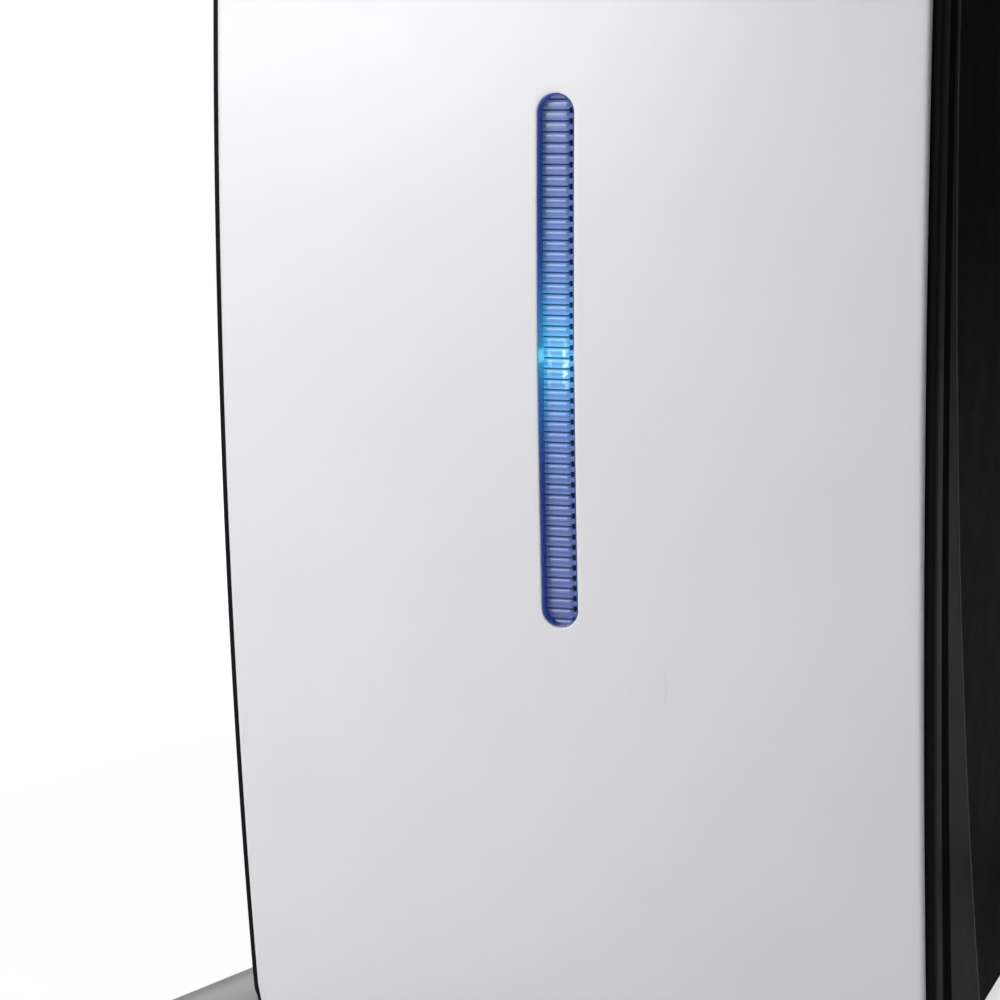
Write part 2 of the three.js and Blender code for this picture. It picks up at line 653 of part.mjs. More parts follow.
function hardDrive() {
  const { x, y, z } = HARD_DRIVE;
  const lid = box([x[0] - 1.2, x[0] + 0.2], [y[0] + 4, y[1] - 4], [z[0] + 3, z[1] - 3]);
  const round = rod("x", 24, [x[0] - 2, x[0] + 0.2], [2, (z[0] + z[1]) / 2], 32);
  return joined([box(x, y, z), lid, round]);
}

// ---------------------------------------------------------------- fan
function fanFrame() {
  const half = FAN_SIZE / 2;
  const y = [FAN_Y - FAN_T / 2, FAN_Y + FAN_T / 2];
  const ring = prismY(roundedRect([-half, half], [FAN_Z - half, FAN_Z + half], 4), y[0], y[1]).subtract(
    rod("y", FAN_HOLE_R, [y[0] - 1, y[1] + 1], [0, FAN_Z], 48),
  );
  const stator = rod("y", FAN_HUB_R, [y[1] - 3.5, y[1] - 1], [0, FAN_Z], 24);
  const struts = [0, 1, 2, 3].map((i) => {
    const bar = new THREE.BoxGeometry(4, 2.5, FAN_HOLE_R - FAN_HUB_R + 4);
    bar.translate(0, y[1] - 2.25, (FAN_HOLE_R + FAN_HUB_R) / 2);
    bar.rotateY(((i + 0.5) * Math.PI) / 2);
    return solid(bar.translate(0, 0, FAN_Z));
  });
  return joined([ring, stator, ...struts]);
}

function fanRotor() {
  const hub = rod("y", FAN_HUB_R, [FAN_Y - 8.5, FAN_Y + 5.5], [0, FAN_Z], 24);
  const span = FAN_HOLE_R - 1.5 - FAN_HUB_R + 2;
  const blades = [];
  for (let i = 0; i < FAN_BLADES; i += 1) {
    const blade = new THREE.BoxGeometry(1.8, 14, span, 1, 1, 3);
    blade.rotateZ(0.75);
    blade.translate(0, FAN_Y - 1.5, FAN_HUB_R - 2 + span / 2);
    blade.rotateY((i * 2 * Math.PI) / FAN_BLADES);
    blades.push(solid(blade.translate(0, 0, FAN_Z)));
  }
  return joined([hub, ...blades]);
}

// ---------------------------------------------------------------- controller shells
// An outline in x and y, extruded upwards
function prismZ(shape, zLow, zHigh, curveSegments = 6) {
  const geometry = new THREE.ExtrudeGeometry(shape, {
    depth: zHigh - zLow,
    bevelEnabled: false,
    curveSegments,
  });
  return solid(geometry.translate(0, 0, zLow));
}

// The controller's outside, or its hollow when inset by the wall thickness.
// u runs across it and v from the grips to the triggers; the fullness falls to 0 at the rim.
function padForm(inset, columns, rows) {
  const block = new THREE.BoxGeometry(2, 2, 2, columns, rows, 1);
  const land = inset > 0 ? 0.3 : 0.6;
  const form = warp(block, (p) => {
    const u = Math.sin((p.x * Math.PI) / 2);
    const v = Math.sin((p.y * Math.PI) / 2);
    const x = (PAD_HALF_W - inset) * u;
    const a = Math.abs(x) / PAD_HALF_W;
    const end = Math.sqrt(1 - 0.97 * a ** 6);
    const grip = Math.exp(-(((a - 0.7) / 0.2) ** 2));
    const shoulder = Math.exp(-(((a - 0.55) / 0.3) ** 2));
    const nearY = (34 + 31 * grip) * end - inset;
    const farY = (31 + 5 * shoulder) * end - inset;
    const y = 4 + v * (v < 0 ? nearY : farY);
    const full = (1 - Math.abs(u) ** 5) ** 0.4 * (1 - Math.abs(v) ** 3.2) ** 0.4;
    const down = THREE.MathUtils.smoothstep(-y, 15, 57);
    const rise = (19.4 - 9 * down - inset) * full;
    const fall = (17.4 + 18 * down - inset) * full;
    p.set(x, y, PAD_PARTING_Z + (p.z > 0 ? land + rise : -land - fall));
  });
  return solid(form);
}

const padOuter = padForm(0, 24, 12);
const padInner = padForm(PAD_WALL, 14, 8);
const padShell = padOuter.subtract(padInner);
const padBand = (low, high) => box([-90, 90], [-90, 90], [low, high]); // wider than the controller

const ABOVE_PAD = 60; // z above everything on the controller
const THROUGH_TOP = [30, ABOVE_PAD];
const BUMPER = { x: [22, 66], y: 26, z: [30, 50] };
const TRIGGER_X = [32, 56];
const TRIGGER_SLACK = 0.6;
const TRIGGER_MOUTH = { y: [22, 60], low: 3, high: 26.5 };
const triggerGap = (side, low) => {
  const x = mirroredX([TRIGGER_X[0] - TRIGGER_SLACK, TRIGGER_X[1] + TRIGGER_SLACK], side);
  return box(x, TRIGGER_MOUTH.y, [low, TRIGGER_MOUTH.high]);
};
const mirroredX = (x, side) => (side > 0 ? x : [-x[1], -x[0]]);

const FACE_PLACES = {
  bottom: [FACE_AT[0], FACE_AT[1] - FACE_SPREAD],
  right: [FACE_AT[0] + FACE_SPREAD, FACE_AT[1]],
  top: [FACE_AT[0], FACE_AT[1] + FACE_SPREAD],
  left: [FACE_AT[0] - FACE_SPREAD, FACE_AT[1]],
};

// Small push buttons: place, radius, underside and top
const SMALL_BUTTONS = {
  view_button: { at: [-12, 14], radius: 3.1, z: [37, 44.7] },
  menu_button: { at: [12, 14], radius: 3.1, z: [37, 44.7] },
  home_button: { at: [0, 23], radius: 6.2, z: [33, 42.6] },
};

function dpadCross(reach, width, z) {
  const [x, y] = DPAD_AT;
  const long = box([x - reach, x + reach], [y - width / 2, y + width / 2], z);
  const cross = box([x - width / 2, x + width / 2], [y - reach, y + reach], z);
  return long.add(cross);
}

function upperShell() {
  const cuts = [
    rod("z", STICK_HOLE_R, THROUGH_TOP, LEFT_STICK, 32),
    rod("z", STICK_HOLE_R, THROUGH_TOP, RIGHT_STICK, 32),
    dpadCross(DPAD_HOLE.reach, DPAD_HOLE.width, THROUGH_TOP),
  ];
  for (const place of Object.values(FACE_PLACES)) {
    cuts.push(rod("z", FACE_R + 0.4, THROUGH_TOP, place, 18));
  }
  for (const { at, radius } of Object.values(SMALL_BUTTONS)) {
    cuts.push(rod("z", radius + 0.4, THROUGH_TOP, at, 18));
  }
  for (const side of [-1, 1]) {
    cuts.push(box(mirroredX(BUMPER.x, side), [BUMPER.y, 60], BUMPER.z));
    cuts.push(triggerGap(side, 0));
  }
  return cutFrom(padShell.intersect(padBand(PAD_PARTING_Z + GAP / 2, ABOVE_PAD)), cuts);
}

function lowerShell() {
  const cuts = [box(BATTERY_HOLE.x, BATTERY_HOLE.y, [-5, 12])];
  for (const side of [-1, 1]) cuts.push(triggerGap(side, TRIGGER_MOUTH.low));
  return cutFrom(padShell.intersect(padBand(0, PAD_PARTING_Z - GAP / 2)), cuts);
}

function bumper(side) {
  const x = mirroredX([BUMPER.x[0] + GAP, BUMPER.x[1] - 0.6], side);
  const zone = box(x, [BUMPER.y + 1.6, 60], [BUMPER.z[0] + GAP, BUMPER.z[1]]);
  return padShell.intersect(zone);
}

// Side view of a trigger, in y and z, round from the top of its hinge end
const TRIGGER_POINTS = [
  [24, 25],
  [31, 26],
  [47, 25.5],
  [48.5, 9],
  [48.4, 6.6],
  [45.6, 7],
  [42, 19],
  [24, 20],
];

function trigger(side) {
  const outline = new THREE.Shape();
  const [hingeTop, start, shoulder, tip, tipTurn, tipBack, hollow, hingeBack] = TRIGGER_POINTS;
  outline.moveTo(...hingeTop);
  outline.lineTo(...start);
  outline.quadraticCurveTo(...shoulder, ...tip);
  outline.quadraticCurveTo(...tipTurn, ...tipBack);
  outline.quadraticCurveTo(...hollow, ...hingeBack);
  outline.closePath();
  const x = mirroredX(TRIGGER_X, side);
  return prismX(outline, x[0], x[1], 7);
}

// ---------------------------------------------------------------- controller controls
const STICK_DOME = { inner: 11.4, outer: 12.6, degrees: [12, 34, 55], back: [55, 36, 18] };
const STICK_CAP = [
  [3, 48.5],
  [8.6, 50],
  [9.5, 51],
  [9.5, 53.6],
  [8.6, 55],
  [6.8, 54.6],
  [0, 53.6],
]; // radius and height

// A stick turned about its stem: a domed skirt below, a dished cap on top, and its axle
function stick([x, y]) {
  const pivot = STICK_PIVOT_Z;
  const dome = (radius, degrees) => {
    const angle = THREE.MathUtils.degToRad(degrees);
    return new THREE.Vector2(radius * Math.sin(angle), pivot + radius * Math.cos(angle));
  };
  const profile = [new THREE.Vector2(0, pivot - 5), new THREE.Vector2(2.2, pivot - 5)];
  for (const degrees of STICK_DOME.degrees) profile.push(dome(STICK_DOME.inner, degrees));
  for (const degrees of STICK_DOME.back) profile.push(dome(STICK_DOME.outer, degrees));
  profile.push(...STICK_CAP.map(([radius, z]) => new THREE.Vector2(radius, z)));
  const turned = new THREE.LatheGeometry(profile, 18).rotateX(Math.PI / 2);
  const post = solid(turned.translate(x, y, 0));
  return post.add(rod("y", 1, [y - 7.6, y + 7.6], [x, pivot], 10));
}

// The ring a stick tilts in; it tilts on its own two stubs
function stickGimbal([x, y]) {
  const z = [STICK_PIVOT_Z - 1.6, STICK_PIVOT_Z + 1.6];
  const ring = rod("z", 10.2, z, [x, y], 24).subtract(rod("z", 8.1, [z[0] - 1, z[1] + 1], [x, y], 24));
  const stubs = [-1, 1].map((side) => {
    const reach = side > 0 ? [x + 9, x + 12] : [x - 12, x - 9];
    return rod("x", 1.1, reach, [y, STICK_PIVOT_Z], 10);
  });
  return joined([ring, ...stubs]);
}

const DPAD = { reach: 11.4, width: 7.6, z: [34.2, 46], stemR: 2.6 };
const DPAD_RING = { outerR: 6.4, innerR: 3.2, z: [30.6, 33.2] };
const FACE = { z: [36, 47.2], flange: 1.1, flangeZ: [35, 37.4] };

function dpad() {
  const cross = dpadCross(DPAD.reach, DPAD.width, DPAD.z);
  return cross.add(rod("z", DPAD.stemR, [DPAD_RING.z[0], DPAD.z[0] + 0.8], DPAD_AT, 16));
}

function dpadPivot() {
  const { outerR, innerR, z } = DPAD_RING;
  return rod("z", outerR, z, DPAD_AT, 20).subtract(rod("z", innerR, [z[0] - 1, z[1] + 1], DPAD_AT, 16));
}

function faceButton(place) {
  const cap = rod("z", FACE_R, FACE.z, place, 18);
  return cap.add(rod("z", FACE_R + FACE.flange, FACE.flangeZ, place, 18));
}

function smallButton({ at, radius, z }) {
  return rod("z", radius, z, at, 18).add(rod("z", radius + 0.9, [z[0] - 1, z[0] + 1], at, 18));
}

// ---------------------------------------------------------------- inside the controller
const PAD_BOARD = { x: [-57, 57], y: [-20, 19], z: [19.2, 20.8] };
const STICK_POST = { near: 12.4, far: 14, halfW: 4 }; // the upright either side of a gimbal

function padBoard() {
  const board = box(PAD_BOARD.x, PAD_BOARD.y, PAD_BOARD.z);
  const baseZ = PAD_BOARD.z[1] - 0.2;
  const { near, far, halfW } = STICK_POST;
  const posts = [];
  for (const [x, y] of [LEFT_STICK, RIGHT_STICK]) {
    for (const side of [-1, 1]) {
      const reach = side > 0 ? [x + near, x + far] : [x - far, x - near];
      posts.push(box(reach, [y - halfW, y + halfW], [baseZ, STICK_PIVOT_Z + 2]));
    }
  }
  posts.push(rod("z", 2.4, [baseZ, DPAD_RING.z[0] - 0.4], DPAD_AT, 12));
  return joined([board, ...posts]);
}

function batteryPack() {
  const cells = CELL_Y.map((y) => rod("x", CELL_R, [-25, 25], [y, CELL_Z], 20));
  const frame = box([-26, 26], [-12, 16], [9.5, 13]);
  return joined([frame, ...cells]);
}

// A shallow tray. Its near wall is low enough to pass under the cells as the cover slides off.
function batteryCover() {
  const { x, y, height, wall, radius } = BATTERY_COVER;
  const tray = prismZ(roundedRect(x, y, radius), 0, height, 4);
  const insideX = [x[0] + wall, x[1] - wall];
  const hollow = prismZ(roundedRect(insideX, [y[0] + wall, y[1] - wall], radius - 1.5), wall, height + 2, 4);
  const step = box(insideX, [y[0] - 1, y[0] + radius], [CELL_Z - CELL_R - 0.4, height + 2]);
  return cutFrom(tray, [hollow, step]);
}

const RUMBLE_AT = [-32, 21]; // y and z of the motors' axis
const RUMBLE = { motorR: 7, motorX: [46, 58], weightR: 6, weightX: [40.5, 44.6], shaftX: [40, 45.7] };

function rumbleMotor(side) {
  return rod("x", RUMBLE.motorR, mirroredX(RUMBLE.motorX, side), RUMBLE_AT, 20);
}

function rumbleWeight(side) {
  const [y, z] = RUMBLE_AT;
  const disc = rod("x", RUMBLE.weightR, mirroredX(RUMBLE.weightX, side), RUMBLE_AT, 20);
  const cut = box([-60, 60], [y - 8, y + 8], [z + 1, z + 8]);
  return disc.subtract(cut).add(rod("x", 1.2, mirroredX(RUMBLE.shaftX, side), RUMBLE_AT, 10));
}

// ---------------------------------------------------------------- assembly
function buildConsole() {
  const group = new THREE.Group();
  group.add(
    meshOf("base_tray", baseTray(), DARK),
    meshOf("front_bezel", frontBezel(), BLACK),
    meshOf("side_cover_left", sideCover(-1), DARK),
    meshOf("side_cover_right", sideCover(1), DARK),
    meshOf("top_cover", topCover(), DARK),
    meshOf("rear_panel", rearPanel(), DARK),
    meshOf("foot_front_left", foot(-1, -1), GREY),
    meshOf("foot_front_right", foot(1, -1), GREY),
    meshOf("foot_rear_left", foot(-1, 1), GREY),
    meshOf("foot_rear_right", foot(1, 1), GREY),
    meshOf("mainboard", mainboard(), BOARD),
    meshOf("heatsink", heatsink(), STEEL),
    meshOf("fan_frame", fanFrame(), BLACK),
    meshOf("fan_rotor", fanRotor(), BLACK),
    meshOf("power_supply", powerSupply(), STEEL),
    meshOf("hard_drive", hardDrive(), STEEL),
    meshOf("disc_drive_case", driveCase(), STEEL),
    meshOf("disc_spindle", discSpindle(), BLACK),
    meshOf("laser_sled", laserSled(), BLACK),
    meshOf("load_roller_left", loadRoller(-1), RUBBER),
    meshOf("load_roller_right", loadRoller(1), RUBBER),
    meshOf("front_usb_block", frontUsbBlock(), BLACK),
    meshOf("disc_slot_trim", discSlotTrim(), BLACK),
    meshOf("rear_port_block", socketBlock(PORT_BLOCK, REAR_SOCKETS, 12), BLACK),
    meshOf("power_inlet", socketBlock(INLET_BLOCK, [INLET_SOCKET], 12), BLACK),
    meshOf("door_skin", doorSkin(), SILVER),
    meshOf("door_liner", doorLiner(), BLACK),
    meshOf("door_magnet", doorMagnet(), STEEL),
    meshOf("light_lens", lightLens(), BLUE),
    meshOf("led_board", ledBoard(), BOARD),
    meshOf("power_button", pushButton(POWER), SILVER),
    meshOf("eject_button", pushButton(EJECT), SILVER),
    meshOf("sync_button", pushButton(SYNC), SILVER),
  );
  group.position.set(CONSOLE_X, CONSOLE_Y, 0);
  return group;
}

function buildController() {
  const group = new THREE.Group();
  group.add(
    meshOf("upper_shell", upperShell(), WHITE),
    meshOf("lower_shell", lowerShell(), WHITE),
    meshOf("controller_board", padBoard(), BOARD),
    meshOf("battery_pack", batteryPack(), STEEL),
    meshOf("battery_cover", batteryCover(), WHITE),
    meshOf("left_stick", stick(LEFT_STICK), RUBBER),
    meshOf("left_stick_gimbal", stickGimbal(LEFT_STICK), STEEL),
    meshOf("right_stick", stick(RIGHT_STICK), RUBBER),
    meshOf("right_stick_gimbal", stickGimbal(RIGHT_STICK), STEEL),
    meshOf("dpad", dpad(), GREY),
    meshOf("dpad_pivot", dpadPivot(), GREY),
  );
  for (const [place, at] of Object.entries(FACE_PLACES)) {
    group.add(meshOf(`face_button_${place}`, faceButton(at), GREY));
  }
  for (const [name, button] of Object.entries(SMALL_BUTTONS)) {
    group.add(meshOf(name, smallButton(button), GREY));
  }
  for (const [hand, side] of [
    ["left", -1],
    ["right", 1],
  ]) {
    group.add(
      meshOf(`${hand}_bumper`, bumper(side), GREY),
      meshOf(`${hand}_trigger`, trigger(side), GREY),
      meshOf(`rumble_motor_${hand}`, rumbleMotor(side), STEEL),
      meshOf(`rumble_weight_${hand}`, rumbleWeight(side), STEEL),
    );
  }
  group.position.set(CONSOLE_X + CONTROLLER_OFFSET_X, CONSOLE_Y + CONTROLLER_OFFSET_Y, 0);
  return group;
}

const part = new THREE.Group();
part.add(buildConsole(), buildController());
export default part;
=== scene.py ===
import math

import bmesh
import bpy
from mathutils import Matrix, Vector


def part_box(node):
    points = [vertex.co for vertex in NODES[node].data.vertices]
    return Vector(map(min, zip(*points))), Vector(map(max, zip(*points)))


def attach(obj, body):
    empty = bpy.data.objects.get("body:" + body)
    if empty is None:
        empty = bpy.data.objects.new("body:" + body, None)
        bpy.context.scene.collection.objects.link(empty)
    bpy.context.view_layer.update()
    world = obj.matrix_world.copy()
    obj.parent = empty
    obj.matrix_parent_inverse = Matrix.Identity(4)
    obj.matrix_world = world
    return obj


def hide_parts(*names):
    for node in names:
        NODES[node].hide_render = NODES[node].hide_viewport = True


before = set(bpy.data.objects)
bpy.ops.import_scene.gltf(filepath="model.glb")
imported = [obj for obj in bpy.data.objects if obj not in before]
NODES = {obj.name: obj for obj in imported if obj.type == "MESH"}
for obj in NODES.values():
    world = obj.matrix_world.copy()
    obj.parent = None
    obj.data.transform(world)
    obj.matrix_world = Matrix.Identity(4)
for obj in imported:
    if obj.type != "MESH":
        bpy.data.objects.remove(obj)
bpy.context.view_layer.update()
MM = 0.001

# ------------------------------------------------------------------ places in the frame


def middle(node):
    low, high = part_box(node)
    return (low + high) / 2


# The console's own centre plane and the floor point under its front, as in the CAD
SKIN_LOW, SKIN_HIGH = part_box("door_skin")
CONSOLE_X = middle("door_skin").x
APEX_Y = SKIN_LOW.y
CONSOLE_Y = APEX_Y + 120 * MM
PAD_X = middle("battery_cover").x
PAD_Y = middle("battery_cover").y - 2 * MM


def console_point(x, y, z):
    """A point given in millimetres from the console's centre plane."""
    return Vector((CONSOLE_X + x * MM, CONSOLE_Y + y * MM, z * MM))


def pad_point(x, y, z):
    """A point given in millimetres from the controller's centre."""
    return Vector((PAD_X + x * MM, PAD_Y + y * MM, z * MM))


# ------------------------------------------------------------------ camera
CAMERA_FROM_APEX = Vector((176, -527, 208))  # mm, from the foot of the door's apex
CAMERA_YAW = 19.54
CAMERA_PITCH = 8.63
CAMERA_ROLL = -0.26
CAMERA_LENS = 108
CAMERA_SENSOR = 36


def make_camera():
    yaw = math.radians(CAMERA_YAW)
    pitch = math.radians(CAMERA_PITCH)
    roll = math.radians(CAMERA_ROLL)
    back = Vector((
        math.sin(yaw) * math.cos(pitch),
        -math.cos(yaw) * math.cos(pitch),
        math.sin(pitch),
    ))
    level = Vector((math.cos(yaw), math.sin(yaw), 0))
    upright = back.cross(level)
    right = level * math.cos(roll) + upright * math.sin(roll)
    up = upright * math.cos(roll) - level * math.sin(roll)
    data = bpy.data.cameras.new("camera")
    data.lens = CAMERA_LENS
    data.sensor_width = CAMERA_SENSOR
    data.clip_start = 0.01
    data.clip_end = 100
    camera = bpy.data.objects.new("camera", data)
    place = Vector((CONSOLE_X, APEX_Y, 0)) + CAMERA_FROM_APEX * MM
    camera.matrix_world = Matrix.Translation(place) @ Matrix((right, up, back)).transposed().to_4x4()
    bpy.context.scene.collection.objects.link(camera)
    bpy.context.scene.camera = camera


# ------------------------------------------------------------------ sizes of the console

# In millimetres, from the console's centre plane and the floor
DOOR_APEX_Z = 172
DOOR_BOW_RADIUS = 1000
DOOR_CROWN_RADIUS = 1500
SKIN_T = 1.6
SKIN_CORNER_R = 1.5
SCUFFS = ((20.6, 88, 14, 5), (13.5, 87.4, 3, 0.8))  # x, z, radius and half length of faint arcs
SCUFF_HALF_W = 0.35
SEAM_Y = -96.5
SEAM_Z = 203
SEAM_RADIUS = 445
SLOT_Z = 149
SLOT_W = 7.1
SLOT_H = 100.4
RIB_PITCH = 2
RIBS = int(SLOT_H // RIB_PITCH) + 1
LENS_LOW = SLOT_Z - RIBS * RIB_PITCH / 2
LENS_RECESS = 2.5
BEZEL_APEX_Y = -107.7
BEZEL_BOW_RADIUS = 806
HOME_GLOW_Z = 41  # height above which the home key glows

# ------------------------------------------------------------------ materials


class Paint:
    """A material with a Principled shader and short calls to add nodes to it."""

    def __init__(self, name, color, roughness, **values):
        self.material = bpy.data.materials.new(name)
        self.material.use_nodes = True
        self.tree = self.material.node_tree
        self.shader = next(n for n in self.tree.nodes if n.type == "BSDF_PRINCIPLED")
        self.set(**{"Base Color": (*color, 1), "Roughness": roughness})
        self.set(**values)
        self.coordinates = None
        self.axes = None

    def set(self, **values):
        for name, value in values.items():
            self.shader.inputs[name.replace("_", " ")].default_value = value

    def add(self, kind, **settings):
        node = self.tree.nodes.new(kind)
        for name, value in settings.items():
            setattr(node, name, value)
        return node

    def link(self, source, target):
        self.tree.links.new(source, target)

    def place(self, stretch=(1, 1, 1)):
        """The object coordinates, which are the frame's, with each axis scaled."""
        if self.coordinates is None:
            self.coordinates = self.add("ShaderNodeTexCoord")
        if stretch == (1, 1, 1):
            return self.coordinates.outputs["Object"]
        mapping = self.add("ShaderNodeMapping")
        mapping.inputs["Scale"].default_value = stretch
        self.link(self.coordinates.outputs["Object"], mapping.inputs["Vector"])
        return mapping.outputs["Vector"]

    def noise(self, grain_mm, detail=2.0, stretch=(1, 1, 1)):
        """Noise whose blotches are about grain_mm across."""
        node = self.add("ShaderNodeTexNoise")
        node.inputs["Scale"].default_value = 1 / (grain_mm * MM)
        node.inputs["Detail"].default_value = detail
        self.link(self.place(stretch), node.inputs["Vector"])
        return node.outputs["Fac"]

    def ramp(self, source, stops):
        """A colour ramp from a list of (position, colour or grey)."""
        node = self.add("ShaderNodeValToRGB")
        elements = node.color_ramp.elements
        while len(elements) < len(stops):
            elements.new(0.5)
        for element, (position, color) in zip(elements, stops):
            element.position = position
            shade = color if isinstance(color, tuple) else (color, color, color)
            element.color = (*shade, 1)
        self.link(source, node.inputs["Fac"])
        return node.outputs["Color"]

    def calc(self, operation, a, b=None, clamp=False):
        node = self.add("ShaderNodeMath", operation=operation, use_clamp=clamp)
        for index, value in enumerate((a, b)):
            if value is None:
                continue
            if isinstance(value, (int, float)):
                node.inputs[index].default_value = value
            else:
                self.link(value, node.inputs[index])
        return node.outputs[0]

    def mix(self, factor, a, b):
        node = self.add("ShaderNodeMix", data_type="RGBA")
        for socket, value in zip((node.inputs[0], node.inputs[6], node.inputs[7]), (factor, a, b)):
            if isinstance(value, (int, float)):
                socket.default_value = value
            elif isinstance(value, tuple):
                socket.default_value = (*value, 1)
            else:
                self.link(value, socket)
        return node.outputs[2]

    def bump(self, height, strength, distance_mm):
        node = self.add("ShaderNodeBump")
        node.inputs["Strength"].default_value = strength
        node.inputs["Distance"].default_value = distance_mm * MM
        self.link(height, node.inputs["Height"])
        last = self.shader.inputs["Normal"].links
        if last:
            self.link(last[0].from_socket, node.inputs["Normal"])
        self.link(node.outputs["Normal"], self.shader.inputs["Normal"])

    def axis(self, name):
        """One of the object coordinates, which are the frame's, in metres."""
        if self.axes is None:
            self.axes = self.add("ShaderNodeSeparateXYZ")
            self.link(self.place(), self.axes.inputs[0])
        return self.axes.outputs[name]

    def slot_height(self):
        """How far up the light slot a point is, from 0 to 1."""
        above = self.calc("SUBTRACT", self.axis("Z"), (SLOT_Z - SLOT_H / 2) * MM)
        return self.calc("DIVIDE", above, SLOT_H * MM)

    def color(self, source):
        self.link(source, self.shader.inputs["Base Color"])

    def roughness(self, source):
        self.link(source, self.shader.inputs["Roughness"])


def plastic(name, color, roughness, grain_mm=0.35, grain=0.12, tint=0.06, **values):
    """Moulded plastic: a fine spark-eroded grain, faint mottling and handling marks in its gloss."""
    paint = Paint(name, color, roughness, **values)
    dark = tuple(c * (1 - tint) for c in color)
    light = tuple(min(1, c * (1 + tint)) for c in color)
    paint.color(paint.ramp(paint.noise(18, 4), [(0.3, dark), (0.7, light)]))
    paint.roughness(paint.ramp(paint.noise(9, 5), [(0.25, roughness * 0.93), (0.75, roughness * 1.07)]))
    paint.bump(paint.noise(grain_mm, 2), grain, 0.05)
    return paint.material


def make_materials():
    made = {}
    made["black"] = plastic("black_satin", (0.011, 0.011, 0.012), 0.36, Specular_IOR_Level=0.01)
    made["charcoal"] = charcoal_cover()
    made["panel"] = plastic("panel_painted", (0.03, 0.03, 0.032), 0.5, 0.6, 0.2, 0.05,
                            Specular_IOR_Level=0.15)
    made["lid"] = plastic("lid_textured", (0.018, 0.018, 0.0195), 0.45, 0.5, 0.15, 0.03,
                          Specular_IOR_Level=0.08)
    made["foot"] = plastic("foot_grey", (0.24, 0.24, 0.235), 0.4, 0.3, 0.1)
    made["silver"] = silver_skin()
    made["lens"] = lens_blue()
    made["wall"] = wall_blue()
    made["controls"] = plastic("silver_button", (0.55, 0.55, 0.57), 0.3, 0.3, 0.06, Metallic=0.4)
    made["shell"] = plastic("controller_shell", (0.72, 0.72, 0.745), 0.4, 0.3, 0.12)
    made["keys"] = plastic("controller_keys", (0.045, 0.045, 0.048), 0.32, 0.3, 0.05, 0.02)
    made["rubber"] = plastic("rubber", (0.012, 0.012, 0.013), 0.75, 0.4, 0.25, Specular_IOR_Level=0.3)
    made["board"] = circuit_board()
    made["steel"] = brushed("brushed_steel", (0.5, 0.5, 0.52), 0.32)
    made["fins"] = brushed("heatsink_fins", (0.62, 0.63, 0.65), 0.28)
    made["home"] = home_key()
    made["gold"] = brushed("gold_contact", (0.83, 0.6, 0.22), 0.25)
    made["socket_blue"] = plastic("socket_tongue_blue", (0.02, 0.06, 0.35), 0.35)
    made["battery"] = plastic("battery_wrap", (0.03, 0.03, 0.035), 0.3)
    return made


def charcoal_cover():
    """Dark textured covers with a painted highlight along their front edge, at the curved seam."""
    paint = Paint("charcoal_textured", (0.008, 0.008, 0.009), 0.45, Specular_IOR_Level=0.004)
    # The front edge along the curved seam is painted light grey: a painted highlight where that edge would
    # catch the light
    rise = paint.calc("SUBTRACT", paint.axis("Z"), SEAM_Z * MM)
    bow = paint.calc("DIVIDE", paint.calc("MULTIPLY", rise, rise), 2 * SEAM_RADIUS * MM)
    seam = paint.calc("ADD", bow, CONSOLE_Y + SEAM_Y * MM)
    behind = paint.calc("SUBTRACT", paint.axis("Y"), seam)
    seam_highlight = paint.ramp(paint.calc("DIVIDE", behind, 2 * MM, clamp=True), [(0.1, 1.0), (0.75, 0.0)])
    dark, light = (0.0075, 0.0075, 0.0085), (0.0085, 0.0085, 0.0095)
    body = paint.ramp(paint.noise(18, 4), [(0.3, dark), (0.7, light)])
    paint.color(paint.mix(seam_highlight, body, (0.16, 0.165, 0.175)))
    paint.roughness(paint.ramp(paint.noise(9, 5), [(0.25, 0.4), (0.75, 0.5)]))
    paint.bump(paint.noise(0.5, 2), 0.15, 0.05)
    return paint.material


def silver_skin():
    """Satin silver-white paint with soft tone changes and two faint scuffs."""
    paint = Paint("silver_skin", (0.78, 0.77, 0.80), 0.36, Coat_Weight=0.25, Coat_Roughness=0.22)
    color = paint.ramp(paint.noise(30, 3), [(0.3, (0.765, 0.755, 0.785)), (0.7, (0.785, 0.777, 0.805))])
    paint.roughness(paint.ramp(paint.noise(14, 4), [(0.3, 0.34), (0.7, 0.39)]))
    paint.bump(paint.noise(0.22, 2), 0.05, 0.02)
    for x, z, radius, length in SCUFFS:
        aside = paint.calc("SUBTRACT", paint.axis("X"), CONSOLE_X + (x - radius) * MM)
        rise = paint.calc("SUBTRACT", paint.axis("Z"), z * MM)
        squares = [paint.calc("MULTIPLY", value, value) for value in (aside, rise)]
        from_centre = paint.calc("SQRT", paint.calc("ADD", *squares))
        off_arc = paint.calc("ABSOLUTE", paint.calc("SUBTRACT", from_centre, radius * MM))
        thin = paint.calc("DIVIDE", off_arc, SCUFF_HALF_W * MM, clamp=True)
        thin = paint.ramp(thin, [(0.2, 1.0), (0.9, 0.0)])
        near = paint.calc("DIVIDE", paint.calc("ABSOLUTE", rise), length * MM, clamp=True)
        near = paint.ramp(near, [(0.3, 1.0), (0.95, 0.0)])
        front = paint.calc("MULTIPLY", paint.calc("GREATER_THAN", aside, 0), 0.09)
        mark = paint.calc("MULTIPLY", paint.calc("MULTIPLY", thin, near), front)
        color = paint.mix(mark, color, (0.35, 0.34, 0.36))
    paint.color(color)
    return paint.material


LENS_COLOR = (0.085, 0.115, 0.33)
LENS_GLOW = [
    (0.0, (0.04, 0.055, 0.10)), (0.25, (0.04, 0.07, 0.15)), (0.38, (0.045, 0.12, 0.26)),
    (0.45, (0.045, 0.23, 0.42)), (0.51, (0.05, 0.38, 0.64)), (0.57, (0.045, 0.26, 0.46)),
    (0.66, (0.045, 0.14, 0.30)), (0.8, (0.045, 0.085, 0.17)), (1.0, (0.045, 0.065, 0.12)),
]
